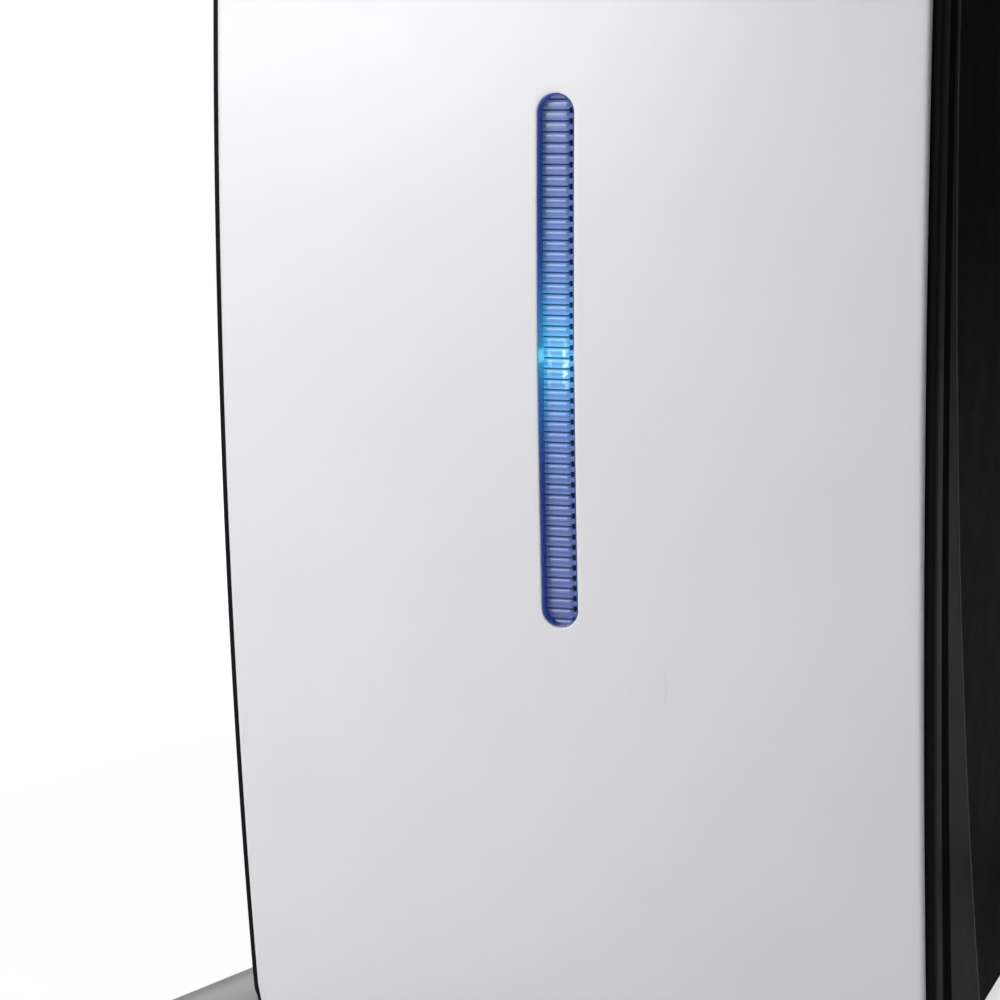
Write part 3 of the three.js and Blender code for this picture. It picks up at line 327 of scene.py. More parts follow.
# Painted highlight and shade across one rib, from groove to groove: dark in the grooves, bright lines beside
# them and a darker line in the middle
RIB_LIGHT_AND_SHADE = [
    (0.0, 0.25), (0.07, 0.3), (0.13, 1.5), (0.22, 1.25), (0.4, 0.9), (0.52, 0.62),
    (0.58, 1.05), (0.8, 1.1), (0.88, 1.5), (0.94, 0.3), (1.0, 0.25),
]
# Painted shade in the notches at the ribs' right ends
NOTCH_SHADE = (0.08, 0.08, 0.12)
# Colour of the painted glints beside the lamp
GLINT_COLOR = (0.55, 1.0, 0.95)
CM = 100  # from metres to the centimetres that the lens's sideways ramps are in


def scaled(paint, color, shades):
    """A colour, or a source of one, multiplied by shades."""
    node = paint.add("ShaderNodeVectorMath", operation="MULTIPLY")
    if isinstance(color, tuple):
        node.inputs[0].default_value = color
    else:
        paint.link(color, node.inputs[0])
    paint.link(shades, node.inputs[1])
    return node.outputs["Vector"]


def lens_blue():
    """Clear blue plastic that glows along its length, most at the lamp behind its middle, with painted
    highlight and shade across each rib, painted shade in the notches at the ribs' right ends and painted
    glints beside the lamp.
    """
    paint = Paint("light_lens_blue", LENS_COLOR, 0.2, Coat_Weight=0.2, Coat_Roughness=0.1)
    height = paint.slot_height()
    aside = paint.calc("SUBTRACT", paint.axis("X"), CONSOLE_X)
    rightward, leftward = (paint.calc("MULTIPLY", aside, scale) for scale in (CM, -CM))
    above = paint.calc("SUBTRACT", paint.axis("Z"), LENS_LOW * MM)
    rib = paint.calc("FRACT", paint.calc("DIVIDE", above, RIB_PITCH * MM))
    # Painted shade in the notches at the ribs' right ends, over painted highlight and shade across each rib,
    # scales both the base colour and the glow
    right_end = paint.ramp(rightward, [(0.165, 0.0), (0.185, 1.0)])
    in_notch = paint.ramp(rib, [(0.2, 1.0), (0.3, 0.0), (0.7, 0.0), (0.8, 1.0)])
    notch = paint.calc("MULTIPLY", right_end, in_notch)
    painted_rib_light_and_shade = paint.mix(notch, paint.ramp(rib, RIB_LIGHT_AND_SHADE), NOTCH_SHADE)
    glow = scaled(paint, paint.ramp(height, LENS_GLOW), painted_rib_light_and_shade)
    paint.color(scaled(paint, LENS_COLOR, painted_rib_light_and_shade))
    # Painted glints: cyan-white specks beside the lamp, near both sides of the slot and off the grooves,
    # mixed into the glow
    off_lamp = paint.calc("ABSOLUTE", paint.calc("SUBTRACT", height, 0.5))
    near_lamp = paint.ramp(off_lamp, [(0.02, 1.0), (0.055, 0.0)])
    near_right = paint.ramp(rightward, [(0.03, 0.0), (0.08, 1.0), (0.15, 1.0), (0.19, 0.0)])
    near_left = paint.ramp(leftward, [(0.15, 0.0), (0.2, 0.5), (0.26, 0.0)])
    near_end = paint.calc("MAXIMUM", near_right, near_left)
    glint_specks = paint.ramp(paint.noise(0.9, 1, (1, 1, 0.8)), [(0.4, 0.15), (0.6, 1.0)])
    off_groove = paint.ramp(rib, [(0.08, 0.0), (0.2, 1.0), (0.8, 1.0), (0.92, 0.0)])
    where = paint.calc("MULTIPLY", near_lamp, near_end)
    painted_glints = paint.calc("MULTIPLY", where, paint.calc("MULTIPLY", glint_specks, off_groove))
    paint.link(paint.mix(painted_glints, glow, GLINT_COLOR), paint.shader.inputs["Emission Color"])
    paint.set(Emission_Strength=1.0)
    paint.roughness(paint.ramp(paint.noise(1.5, 3), [(0.3, 0.14), (0.7, 0.26)]))
    return paint.material


# The wall's glow steps up sharply beside the lamp, where its bright cyan band is a painted glint
WALL_GLOW = [
    (0.3, (0.006, 0.012, 0.07)), (0.46, (0.01, 0.08, 0.2)), (0.5, (0.02, 0.2, 0.34)),
    (0.507, (0.12, 0.55, 0.68)), (0.524, (0.12, 0.55, 0.68)), (0.532, (0.02, 0.16, 0.3)),
    (0.7, (0.008, 0.02, 0.1)),
]


def wall_blue():
    """The darker blue border of the light pipe, brightest beside the lamp, where a painted glint lies on it.
    """
    paint = Paint("light_wall_blue", (0.02, 0.05, 0.26), 0.25)
    glow = paint.ramp(paint.slot_height(), WALL_GLOW)
    paint.link(glow, paint.shader.inputs["Emission Color"])
    paint.set(Emission_Strength=1.0)
    paint.roughness(paint.ramp(paint.noise(1.5, 3), [(0.3, 0.2), (0.7, 0.32)]))
    return paint.material


def circuit_board():
    """Green solder mask over a grid of lighter tracks."""
    paint = Paint("circuit_board", (0.01, 0.08, 0.03), 0.45, Coat_Weight=0.3)
    bricks = paint.add("ShaderNodeTexBrick", offset=0.37, squash=1.6)
    bricks.inputs["Scale"].default_value = 130
    bricks.inputs["Mortar Size"].default_value = 0.06
    bricks.inputs["Color1"].default_value = (0.008, 0.07, 0.028, 1)
    bricks.inputs["Color2"].default_value = (0.012, 0.09, 0.035, 1)
    bricks.inputs["Mortar"].default_value = (0.03, 0.16, 0.07, 1)
    paint.link(paint.place((1, 1, 1.7)), bricks.inputs["Vector"])
    paint.color(bricks.outputs["Color"])
    paint.bump(bricks.outputs["Fac"], 0.3, 0.05)
    return paint.material


def brushed(name, color, roughness):
    """Metal with fine streaks along Y."""
    paint = Paint(name, color, roughness, Metallic=1.0)
    streaks = paint.noise(0.4, 3, (1, 0.03, 1))
    dark = tuple(c * 0.85 for c in color)
    paint.color(paint.ramp(streaks, [(0.3, dark), (0.7, color)]))
    paint.roughness(paint.ramp(streaks, [(0.2, roughness * 0.8), (0.8, roughness * 1.3)]))
    paint.bump(streaks, 0.08, 0.02)
    return paint.material


def home_key():
    """A blue key that glows on its face and not down in its well."""
    paint = Paint("home_key_blue", (0.05, 0.12, 0.45), 0.2, Coat_Weight=0.5, Coat_Roughness=0.1)
    glow = paint.ramp(paint.noise(4, 2), [(0.3, (0.05, 0.16, 0.6)), (0.7, (0.07, 0.22, 0.72))])
    paint.link(glow, paint.shader.inputs["Emission Color"])
    lit = paint.calc("MULTIPLY", paint.calc("GREATER_THAN", paint.axis("Z"), HOME_GLOW_Z * MM), 0.6)
    paint.link(lit, paint.shader.inputs["Emission Strength"])
    return paint.material


# ------------------------------------------------------------------ building meshes


def make_mesh(name, vertices, faces, weld=True):
    """A mesh whose faces all look outwards."""
    mesh = bpy.data.meshes.new(name)
    mesh.from_pydata([tuple(v) for v in vertices], [], faces)
    if weld:
        mesh.validate()
    shape = bmesh.new()
    shape.from_mesh(mesh)
    if weld:
        bmesh.ops.remove_doubles(shape, verts=shape.verts, dist=1e-7)
    bmesh.ops.recalc_face_normals(shape, faces=shape.faces)
    shape.to_mesh(mesh)
    shape.free()
    return mesh


def shade(mesh, sharp_deg):
    """Smooth shading that breaks where faces meet at more than an angle."""
    mesh.shade_smooth()
    mesh.set_sharp_from_angle(angle=math.radians(sharp_deg))


def add_piece(name, vertices, faces, material, body, slot, sharp_deg=35):
    """A new piece from vertices in metres. It rides on a body and takes the given material. Its slot is not
    used.
    """
    mesh = make_mesh(name, vertices, faces)
    mesh.materials.append(material)
    piece = bpy.data.objects.new(name, mesh)
    bpy.context.scene.collection.objects.link(piece)
    shade(mesh, sharp_deg)
    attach(piece, body)
    return piece


def bridge(loops, closed_ends=False):
    """Faces between loops of equal length that are laid one after another."""
    count = len(loops[0])
    vertices = [p for loop in loops for p in loop]
    faces = []
    for row in range(len(loops) - 1):
        for i in range(count):
            j = (i + 1) % count
            a, b = row * count, (row + 1) * count
            faces.append((a + i, a + j, b + j, b + i))
    if closed_ends:
        faces.append(tuple(range(count))[::-1])
        last = (len(loops) - 1) * count
        faces.append(tuple(last + i for i in range(count)))
    return vertices, faces


def resample(line, count):
    """count points along an open polyline at equal steps, without its last point."""
    lengths = [0.0]
    for a, b in zip(line, line[1:]):
        lengths.append(lengths[-1] + math.dist(a, b))
    points = []
    k = 0
    for i in range(count):
        target = lengths[-1] * i / count
        while lengths[k + 1] < target:
            k += 1
        share = (target - lengths[k]) / max(lengths[k + 1] - lengths[k], 1e-12)
        a, b = line[k], line[k + 1]
        points.append((a[0] + (b[0] - a[0]) * share, a[1] + (b[1] - a[1]) * share))
    return points


def grid_faces(width, rows, start=0):
    """Faces of a grid whose rows of vertices are laid one after another."""
    faces = []
    for row in range(rows - 1):
        for column in range(width - 1):
            a = start + row * width + column
            faces.append((a, a + 1, a + 1 + width, a + width))
    return faces


def grid_border(width, rows, start=0):
    """The numbers of a grid's outer vertices, in order round it."""
    border = [start + i for i in range(width)]
    border += [start + row * width + width - 1 for row in range(1, rows)]
    border += [start + (rows - 1) * width + i for i in range(width - 2, -1, -1)]
    border += [start + row * width for row in range(rows - 2, 0, -1)]
    return border


def band(first, second):
    """Faces between two rings of as many vertex numbers."""
    turned = first[1:] + first[:1]
    return [(a, b, d, c) for a, b, c, d in zip(first, turned, second, second[1:] + second[:1])]


def circle(count):
    """Angles of count points at equal steps round a circle."""
    return [2 * math.pi * i / count for i in range(count)]


def arc(cx, cz, radius, start_deg, end_deg, steps=16):
    """Points of an arc about a centre."""
    angles = [start_deg + (end_deg - start_deg) * i / steps for i in range(steps + 1)]
    turns = [math.radians(a) for a in angles]
    return [(cx + radius * math.cos(turn), cz + radius * math.sin(turn)) for turn in turns]


def bend(start, pull, end, steps):
    """Points of a curve from start to end that is drawn towards pull, without its first point."""
    points = []
    for i in range(1, steps + 1):
        t = i / steps
        points.append(tuple((1 - t) ** 2 * a + 2 * t * (1 - t) * b + t * t * c
                            for a, b, c in zip(start, pull, end)))
    return points


def blend(first, second, share):
    """A loop that lies a share of the way from one loop to another."""
    return [(a[0] + (b[0] - a[0]) * share, a[1] + (b[1] - a[1]) * share) for a, b in zip(first, second)]


def grown(loop, amount):
    """A closed anticlockwise loop moved outwards by an amount."""
    count = len(loop)
    moved = []
    for i in range(count):
        before, after = loop[i - 1], loop[(i + 1) % count]
        tangent = (after[0] - before[0], after[1] - before[1])
        size = math.hypot(*tangent)
        moved.append((loop[i][0] + amount * tangent[1] / size, loop[i][1] - amount * tangent[0] / size))
    return moved


# ------------------------------------------------------------------ door
END_POINTS = 40
SIDE_POINTS = 72


def matched(right, top, left, bottom):
    """A closed loop of four sides, with as many points to a side on every outline of the door."""
    loop = []
    for side in (right, top, left, bottom):
        loop += resample(side, END_POINTS if side in (top, bottom) else SIDE_POINTS)
    return loop


def door_front(x, z):
    """The door's front, bowed from top to bottom and slightly crowned from side to side."""
    return -120 + (z - DOOR_APEX_Z) ** 2 / (2 * DOOR_BOW_RADIUS) + x ** 2 / (2 * DOOR_CROWN_RADIUS)


def skin_outline():
    """The skin's rounded rectangle, anticlockwise."""
    half = (SKIN_HIGH.x - SKIN_LOW.x) / 2 / MM
    low, high, r = SKIN_LOW.z / MM, SKIN_HIGH.z / MM, SKIN_CORNER_R
    right = arc(half - r, low + r, r, -45, 0) + arc(half - r, high - r, r, 0, 45)
    top = arc(half - r, high - r, r, 45, 90) + arc(-half + r, high - r, r, 90, 135)
    left = arc(-half + r, high - r, r, 135, 180) + arc(-half + r, low + r, r, 180, 225)
    bottom = arc(-half + r, low + r, r, 225, 270) + arc(half - r, low + r, r, 270, 315)
    return matched(right, top, left, bottom)


def slot_outline():
    """The light slot's outline, with points that match the skin's."""
    r, reach = SLOT_W / 2, (SLOT_H - SLOT_W) / 2
    right = [(r, SLOT_Z - reach), (r, SLOT_Z + reach)]
    top = arc(0, SLOT_Z + reach, r, 0, 180, 40)
    left = [(-r, SLOT_Z + reach), (-r, SLOT_Z - reach)]
    bottom = arc(0, SLOT_Z - reach, r, 180, 360, 40)
    return matched(right, top, left, bottom)


def on_door(loop, depth):
    return [console_point(x, door_front(x, z) + depth, z) for x, z in loop]


SKIN_EDGE_R = 0.9
SKIN_LIP_R = 0.35
ROLL = (0, 22.5, 45, 67.5, 90)  # degrees round a rolled edge


def rolled(loop, radius, outward, angles):
    """Loops round an edge that is rolled over by a radius."""
    loops = []
    for turn in map(math.radians, angles):
        moved = grown(loop, outward * radius * (1 - math.cos(turn)))
        loops.append(on_door(moved, radius * (1 - math.sin(turn))))
    return loops


def build_door_skin(material):
    """The bowed skin with its light slot, rolled over at its outer edge and at the slot."""
    outer, slot = skin_outline(), slot_outline()
    loops = rolled(outer, SKIN_EDGE_R, -1, ROLL)
    inner_edge, slot_edge = grown(outer, -SKIN_EDGE_R), grown(slot, SKIN_LIP_R)
    shares = [0.015, 0.04, 0.08] + [0.14 + 0.78 * i / 16 for i in range(17)] + [0.95, 0.975, 0.99]
    loops += [on_door(blend(inner_edge, slot_edge, share), 0) for share in shares]
    loops += rolled(slot, SKIN_LIP_R, 1, ROLL[::-1])
    loops.append(on_door(slot, SKIN_T))
    loops += [on_door(blend(outer, slot, share), SKIN_T) for share in (0.9, 0.7, 0.5, 0.3, 0.1)]
    loops.append(on_door(outer, SKIN_T))
    skin = bridge(loops + loops[:1])
    piece = add_piece("door_skin_panel", *skin, material, "door", "silver_shell", sharp_deg=50)
    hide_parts("door_skin")


# Sections as (distance outwards, depth behind the door's front) in mm
WALL_FOOT = LENS_RECESS + 1.2
WALL_SECTION = [(-0.03, WALL_FOOT), (-0.03, 0.5), (-0.12, 0.42), (-0.3, 0.5), (-0.34, WALL_FOOT)]
RIM_SECTION = [(-0.9, SKIN_T + 0.28), (1.2, SKIN_T + 0.28), (1.6, SKIN_T + 0.4), (1.75, SKIN_T + 0.8),
               (1.75, SKIN_T + 7.4), (1.5, SKIN_T + 7.8), (1.1, SKIN_T + 7.8)]


def trim_on_door(outline, section):
    """A closed section swept round an outline of the door."""
    loops = [on_door(grown(outline, amount), depth) for amount, depth in section]
    return bridge(loops + loops[:1])


def build_lens_wall(material):
    """The lens's raised border, a blue wall that lines the slot from its lip down to the ribs."""
    wall = trim_on_door(slot_outline(), WALL_SECTION)
    piece = add_piece("light_lens_wall", *wall, material, "door", "blue_lens", sharp_deg=60)
    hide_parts("light_lens")


def build_liner_edge(material):
    """The liner's rim that shows as a thin black line round the skin."""
    rim = trim_on_door(skin_outline(), RIM_SECTION)
    add_piece("door_liner_rim", *rim, material, "door", "black_trim", sharp_deg=40)


LENS_COLUMNS = 22
ROWS_PER_RIB = 8
LENS_TUCK = 0.3  # mm that the lens reaches under the slot's edge
LENS_T = 2.6
GROOVE = (0.24, 0.4)  # width and depth in mm
NOTCH = (0.5, 1.6)
NOTCH_INSET = 1.75


def lens_row(z, half):
    """One row of the ribbed front, sunk at the grooves and more so at their right ends."""
    to_groove = RIB_PITCH / 2 - abs((z - LENS_LOW) % RIB_PITCH - RIB_PITCH / 2)
    groove, notch = (math.exp(-((to_groove / width) ** 2)) for width, _ in (GROOVE, NOTCH))
    line = []
    for column in range(LENS_COLUMNS + 1):
        x = half * math.sin(math.pi * (column / LENS_COLUMNS - 0.5))
        near_right = min(1, max(0, (x - (SLOT_W / 2 - NOTCH_INSET)) / 0.2))
        depth = LENS_RECESS + GROOVE[1] * groove + NOTCH[1] * (notch * near_right)
        line.append(console_point(x, door_front(x, z) + depth, z))
    return line


def build_lens(material):
    """The ribbed light pipe: rounded ribs, cut apart at their right ends."""
    radius = SLOT_W / 2 + LENS_TUCK
    reach = (SLOT_H - SLOT_W) / 2
    rows = []
    for row in range(RIBS * ROWS_PER_RIB + 1):
        z = LENS_LOW + row * RIB_PITCH / ROWS_PER_RIB
        beyond = max(0.0, abs(z - SLOT_Z) - reach)
        if beyond < radius:
            rows.append(lens_row(z, math.sqrt(radius ** 2 - beyond ** 2)))
    width = LENS_COLUMNS + 1
    vertices = [point for line in rows for point in line]
    faces = grid_faces(width, len(rows))
    count = len(vertices)
    vertices += [point + Vector((0, LENS_T * MM, 0)) for point in vertices]
    faces += [tuple(i + count for i in reversed(face)) for face in faces]
    border = grid_border(width, len(rows))
    faces += [(a, a + count, b + count, b) for a, b in zip(border, border[1:] + border[:1])]
    piece = add_piece("light_lens_ribbed", vertices, faces, material, "door", "blue_lens", sharp_deg=60)
    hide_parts("light_lens")


# ------------------------------------------------------------------ small turned and moulded pieces


def lathe(profile, centre, axis, sides=48, lobes=0):
    """A profile of (radius, height, lobe depth) in mm, turned about an axis through a point."""
    across = Vector((0, 0, 1)) if abs(axis.z) < 0.5 else Vector((1, 0, 0))
    side = axis.cross(across).normalized()
    across = side.cross(axis).normalized()
    loops = []
    for radius, height, *depth in profile:
        wave = depth[0] if depth else 0
        ring = []
        for turn in circle(sides):
            reach = (radius + wave * math.cos(lobes * turn)) * MM
            aside = across * math.cos(turn) + side * math.sin(turn)
            ring.append(centre + axis * height * MM + aside * reach)
        loops.append(ring)
    return bridge(loops, closed_ends=True)


def slab(low, high, round_mm, segments=3):
    """A box with rounded edges between two corners in metres."""
    mesh = bmesh.new()
    bmesh.ops.create_cube(mesh, size=1)
    size = high - low
    for vertex in mesh.verts:
        vertex.co = (low + high) / 2 + Vector(a * b for a, b in zip(vertex.co, size))
    bmesh.ops.bevel(mesh, geom=list(mesh.edges), offset=round_mm * MM, segments=segments,
                    profile=0.5, affect="EDGES", clamp_overlap=True)
    mesh.verts.index_update()
    vertices = [v.co.copy() for v in mesh.verts]
    faces = [[v.index for v in face.verts] for face in mesh.faces]
    mesh.free()
    return vertices, faces


def merged(parts):
    """Several (vertices, faces) pairs as one."""
    vertices, faces = [], []
    for some, their_faces in parts:
        start = len(vertices)
        vertices += some
        faces += [tuple(start + i for i in face) for face in their_faces]
    return vertices, faces


def boolean(piece, cutter_parts, operation="DIFFERENCE"):
    """Cuts a piece with closed shapes, and keeps the result in its mesh."""
    mesh = make_mesh("cutter", *merged(cutter_parts), weld=False)
    cutter = bpy.data.objects.new("cutter", mesh)
    bpy.context.scene.collection.objects.link(cutter)
    modifier = piece.modifiers.new("cut", "BOOLEAN")
    modifier.operation = operation
    modifier.solver = "EXACT"
    modifier.object = cutter
    bpy.context.view_layer.update()
    result = bpy.data.meshes.new_from_object(piece.evaluated_get(bpy.context.evaluated_depsgraph_get()))
    piece.modifiers.remove(modifier)
    name = piece.data.name
    old = piece.data
    piece.data = result
    bpy.data.meshes.remove(old)
    result.name = name
    bpy.data.objects.remove(cutter)
    bpy.data.meshes.remove(mesh)


FORWARD = Vector((0, -1, 0))
BACKWARD = Vector((0, 1, 0))
UP = Vector((0, 0, 1))
SCREW = [(0.05, -0.9), (0.9, -0.9, 0.14), (0.95, 0.75, 0.14), (1.15, 0.95), (2.0, 0.75), (2.7, 0.25),
         (2.9, -0.2), (2.9, -0.6), (1.2, -0.7), (1.2, -2.2), (0.05, -2.2)]
SCREW_Y = 107.2
SCREWS = {
    "rear": [(-61, 30), (61, 30), (-61, 298), (61, 298), (-47, 196), (47, 196)],
    "fan": [(-34.5, 279.5), (34.5, 279.5), (-34.5, 210.5), (34.5, 210.5)],
}


def add_screws(materials):
    """Pan-head screws with a six-lobed recess, round the rear panel and its fan."""
    for kind, places in SCREWS.items():
        for number, (x, z) in enumerate(places):
            screw = lathe(SCREW, console_point(x, SCREW_Y, z), BACKWARD, 36, 6)
            add_piece(f"{kind}_screw_{number}", *screw, materials["steel"], "console", "steel")


# ------------------------------------------------------------------ sockets
FRONT_SOCKETS = ((-36, 64), (-36, 48))
FRONT_SOCKET_SIZE = (12.6, 5.4)
FRONT_SOCKET_DEPTH = 9.2
FRONT_BACK_Y = -89.3
REAR_SOCKETS = {"video": (-25, 68, 15.4, 5.6), "network": (-34, 51, 12.4, 9), "usb": (-14, 51, 12.8, 5.4)}
REAR_SOCKET_DEPTH = 11.8
REAR_FACE_Y = 106.6
REAR_BACK_Y = 94.7
TONGUES = {"video": (6.2, 1.3), "usb": (5.2, 1.8)}  # half width and height
INLET_AT = (31, 53)
INLET_PIN = [(0.05, -1), (1.2, -1), (1.2, 7.6), (1.0, 8.3), (0.5, 8.8), (0.05, 8.9)]
SLEEVE_WALL = 0.3
SLEEVE_CORNER_R = 0.7


def bezel_front(z):
    """The bezel's bowed front behind the door."""
    return BEZEL_APEX_Y + (z - DOOR_APEX_Z) ** 2 / (2 * BEZEL_BOW_RADIUS)


def socket_shell(x, z, width, height, front_y, depth, toward):
    """A thin pressed-metal sleeve inside a socket, open at the front."""
    x0, x1 = x - width / 2 + 0.05, x + width / 2 - 0.05
    z0, z1 = z - height / 2 + 0.05, z + height / 2 - 0.05
    r = SLEEVE_CORNER_R
    loops = []
    for grow, at in ((0, 0.1), (0, depth - 0.6), (-SLEEVE_WALL, depth - 0.6), (-SLEEVE_WALL, 0.1)):
        left, right = x0 - grow + r, x1 + grow - r
        low, high = z0 - grow + r, z1 + grow - r
        line = []
        for quarter, centre in enumerate(((right, low), (right, high), (left, high), (left, low))):
            line += arc(*centre, r, 90 * quarter - 90, 90 * quarter, 6)
        loops.append([console_point(u, front_y - toward * at, v) for u, v in line])
    return bridge(loops + loops[:1])


def console_slab(x, y, z, round_mm=0.2):
    """A slab between two values in mm on each of the console's axes."""
    return slab(console_point(x[0], y[0], z[0]), console_point(x[1], y[1], z[1]), round_mm)


def add_front_sockets(materials):
    """Sleeve, tongue and contacts in each of the front sockets."""
    for number, (x, z) in enumerate(FRONT_SOCKETS):
        front = bezel_front(z)
        shell = socket_shell(x, z, *FRONT_SOCKET_SIZE, front, FRONT_SOCKET_DEPTH, -1)
        add_piece(f"front_usb_shell_{number}", *shell, materials["steel"], "console", "steel")
        tongue = console_slab((x - 5.2, x + 5.2), (front + 1.2, FRONT_BACK_Y), (z + 0.1, z + 1.9))
        add_piece(f"front_usb_tongue_{number}", *tongue, materials["socket_blue"], "console", "blue_lens")
        pin_y, pin_z = (front + 1.6, FRONT_BACK_Y - 0.2), (z - 0.1, z + 0.12)
        pins = [console_slab((x + u - 0.45, x + u + 0.45), pin_y, pin_z, 0.05)
                for u in (-3.6, -1.2, 1.2, 3.6)]
        add_piece(f"front_usb_pins_{number}", *merged(pins), materials["gold"], "console", "steel")


def add_rear_sockets(materials):
    """Sleeves, tongues and contacts in the rear sockets, and the blades of the power inlet."""
    for name, (x, z, width, height) in REAR_SOCKETS.items():
        shell = socket_shell(x, z, width, height, REAR_FACE_Y, REAR_SOCKET_DEPTH, 1)
        add_piece(f"rear_{name}_shell", *shell, materials["steel"], "console", "steel")
    for name, (half, height) in TONGUES.items():
        x, z = REAR_SOCKETS[name][:2]
        tongue = console_slab((x - half, x + half), (REAR_BACK_Y, 105), (z - height / 2, z + height / 2))
        add_piece(f"rear_{name}_tongue", *tongue, materials["keys"], "console", "black_trim")
    x, z = REAR_SOCKETS["network"][:2]
    pin_y, pin_z = (REAR_BACK_Y, 103), (z + 2.6, z + 3.2)
    pins = []
    for i in range(8):
        at = x + 1.02 * (i - 3.5)
        pins.append(console_slab((at - 0.2, at + 0.2), pin_y, pin_z, 0.08))
    add_piece("rear_network_pins", *merged(pins), materials["gold"], "console", "steel")
    x, z = INLET_AT
    pins = [lathe(INLET_PIN, console_point(x + side * 4.3, 95, z), BACKWARD, 24) for side in (-1, 1)]
    add_piece("inlet_pins", *merged(pins), materials["steel"], "console", "steel")


# ------------------------------------------------------------------ buttons behind the door
CONSOLE_BUTTONS = {"power_button": 9, "eject_button": 6, "sync_button": 4}
POWER_RING = [(10.1, -0.6), (10.1, 0.25), (10.3, 0.4), (10.9, 0.4), (11.1, 0.25), (11.1, -0.6)]


def add_console_buttons(materials):
    """Dished metal-look caps with a rounded rim, and a soft light ring round the power button."""
    for node, r in CONSOLE_BUTTONS.items():
        low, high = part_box(node)
        face = Vector(((low.x + high.x) / 2, low.y, (low.z + high.z) / 2))
        profile = [(0.05, -0.55), (r * 0.35, -0.5), (r * 0.68, -0.3), (r - 1.3, -0.02), (r - 0.9, 0),
                   (r - 0.45, -0.08), (r - 0.15, -0.3), (r, -0.7), (r, -7), (r + 1.6, -7), (r + 1.6, -9),
                   (0.05, -9)]
        cap = add_piece(f"{node}_cap", *lathe(profile, face, FORWARD, 64), materials["controls"], node,
                        "silver_buttons", sharp_deg=50)
        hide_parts(node)
    low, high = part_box("power_button")
    z = (low.z + high.z) / 2 / MM
    slope = Vector((0, -1, (z - DOOR_APEX_Z) / BEZEL_BOW_RADIUS)).normalized()
    centre = console_point(0, bezel_front(z), z)
    across = Vector((1, 0, 0))
    side = slope.cross(across)
    loops = [[centre + slope * h * MM + (across * math.cos(t) + side * math.sin(t)) * r * MM
              for t in circle(72)] for r, h in POWER_RING + POWER_RING[:1]]
    add_piece("power_ring", *bridge(loops), materials["home"], "console", "blue_lens")


# ------------------------------------------------------------------ feet
FOOT_ROOT = (38, 50)
FOOT_TIP_X = 107.3
FOOT_TIP_Y = {"front": 117, "rear": 98}
FOOT_HALF_W = (14, 7)
FOOT_CREST_Z = (27, 3.4)
FOOT_EDGE_DROP = 2.5
FOOT_REACH = 108
FOOT_SHOULDER = 0.9
TIP_START = 0.86  # share of a foot's length where its tip starts to round
# Room that the feet are cut away for, just outside the body and its sill, as x, y and z in mm
BODY_SPACE = ((-70.3, 70.3), (-130, 130), (11.7, 60))
SILL_SPACE = ((-70.3, 70.3), (-130, -87.7), (8.7, 60))
FEET_SPACE = ((-FOOT_REACH, FOOT_REACH), (-130, 130), (-1, 60))


def foot_section(t, root, along, across):
    """The loop round a foot, a share t of the way from under the body to its tip."""
    tip_round = math.sqrt(1 - 0.92 * max(0, (t - TIP_START) / 0.14) ** 2)
    half = (FOOT_HALF_W[0] + (FOOT_HALF_W[1] - FOOT_HALF_W[0]) * t) * tip_round
    crest = FOOT_CREST_Z[0] + (FOOT_CREST_Z[1] - FOOT_CREST_Z[0]) * t
    loop = []
    steps = 28
    for i in range(steps + 1):
        v = -math.cos(math.pi * i / steps)
        z = crest - FOOT_EDGE_DROP * (1 - 0.56 * t) * v ** 2
        z -= FOOT_SHOULDER * max(0, (abs(v) - 0.88) / 0.12) ** 2
        loop.append((half * v, z))
    loop += [(half, 0), (half * 0.5, 0), (0, 0), (-half * 0.5, 0), (-half, 0)]
    x, y = root[0] + along[0] * t, root[1] + along[1] * t
    return [console_point(x + across[0] * aside, y + across[1] * aside, z) for aside, z in loop]


def build_feet(material):
    """Smooth splayed feet with softened shoulders, cut away where they pass under the body."""
    body, sill, limit = (console_slab(*space, 0.01) for space in (BODY_SPACE, SILL_SPACE, FEET_SPACE))
    shares = [i / 30 * TIP_START for i in range(31)]
    shares += [TIP_START + 0.14 * math.sin(math.pi / 2 * i / 10) for i in range(1, 11)]
    for end, front in (("front", -1), ("rear", 1)):
        for hand, side in (("left", -1), ("right", 1)):
            root = (side * FOOT_ROOT[0], front * FOOT_ROOT[1])
            along = (side * FOOT_TIP_X - root[0], front * FOOT_TIP_Y[end] - root[1])
            length = math.hypot(*along)
            across = (-along[1] / length, along[0] / length)
            loops = [foot_section(t, root, along, across) for t in shares]
            name = f"foot_{end}_{hand}"
            shape = bridge(loops, closed_ends=True)
            foot = add_piece(f"{name}_moulded", *shape, material, "console", "foot_grey", sharp_deg=40)
            boolean(foot, [body])
            boolean(foot, [sill])
            boolean(foot, [limit], "INTERSECT")
            shade(foot.data, 40)
            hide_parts(name)


# ------------------------------------------------------------------ controller
PAD_HALF_W = 76.5
PAD_PARTING_Z = 24
PAD_WALL = 2.4
PAD_COLUMNS = 84
PAD_ROWS = 56
LEFT_STICK = (-42, 10)
RIGHT_STICK = (19, -9)
STICK_PIVOT_Z = 27
DPAD_AT = (-19, -9)
FACE_AT = (42, 8)
FACE_SPREAD = 10.8
FACE_BUTTONS = {"bottom": (0, -1), "right": (1, 0), "top": (0, 1), "left": (-1, 0)}
SMALL_BUTTONS = {"view_button": (-12, 14, 3.1, 44.7), "menu_button": (12, 14, 3.1, 44.7),
                 "home_button": (0, 23, 6.2, 42.6)}
BUMPER_X = (22, 66)
BUMPER_Y = 26
TRIGGER_X = (32, 56)
TRIGGER_GAP = 0.6
THROUGH_TOP = (30, 60)  # heights between which a cut opens only the upper shell
BEYOND_Y = 60  # mm, past the controller's far edge


def smoothstep(value, low, high):
    """0 below low, 1 above high, and an even curve between them."""
    t = min(1, max(0, (value - low) / (high - low)))
    return t * t * (3 - 2 * t)


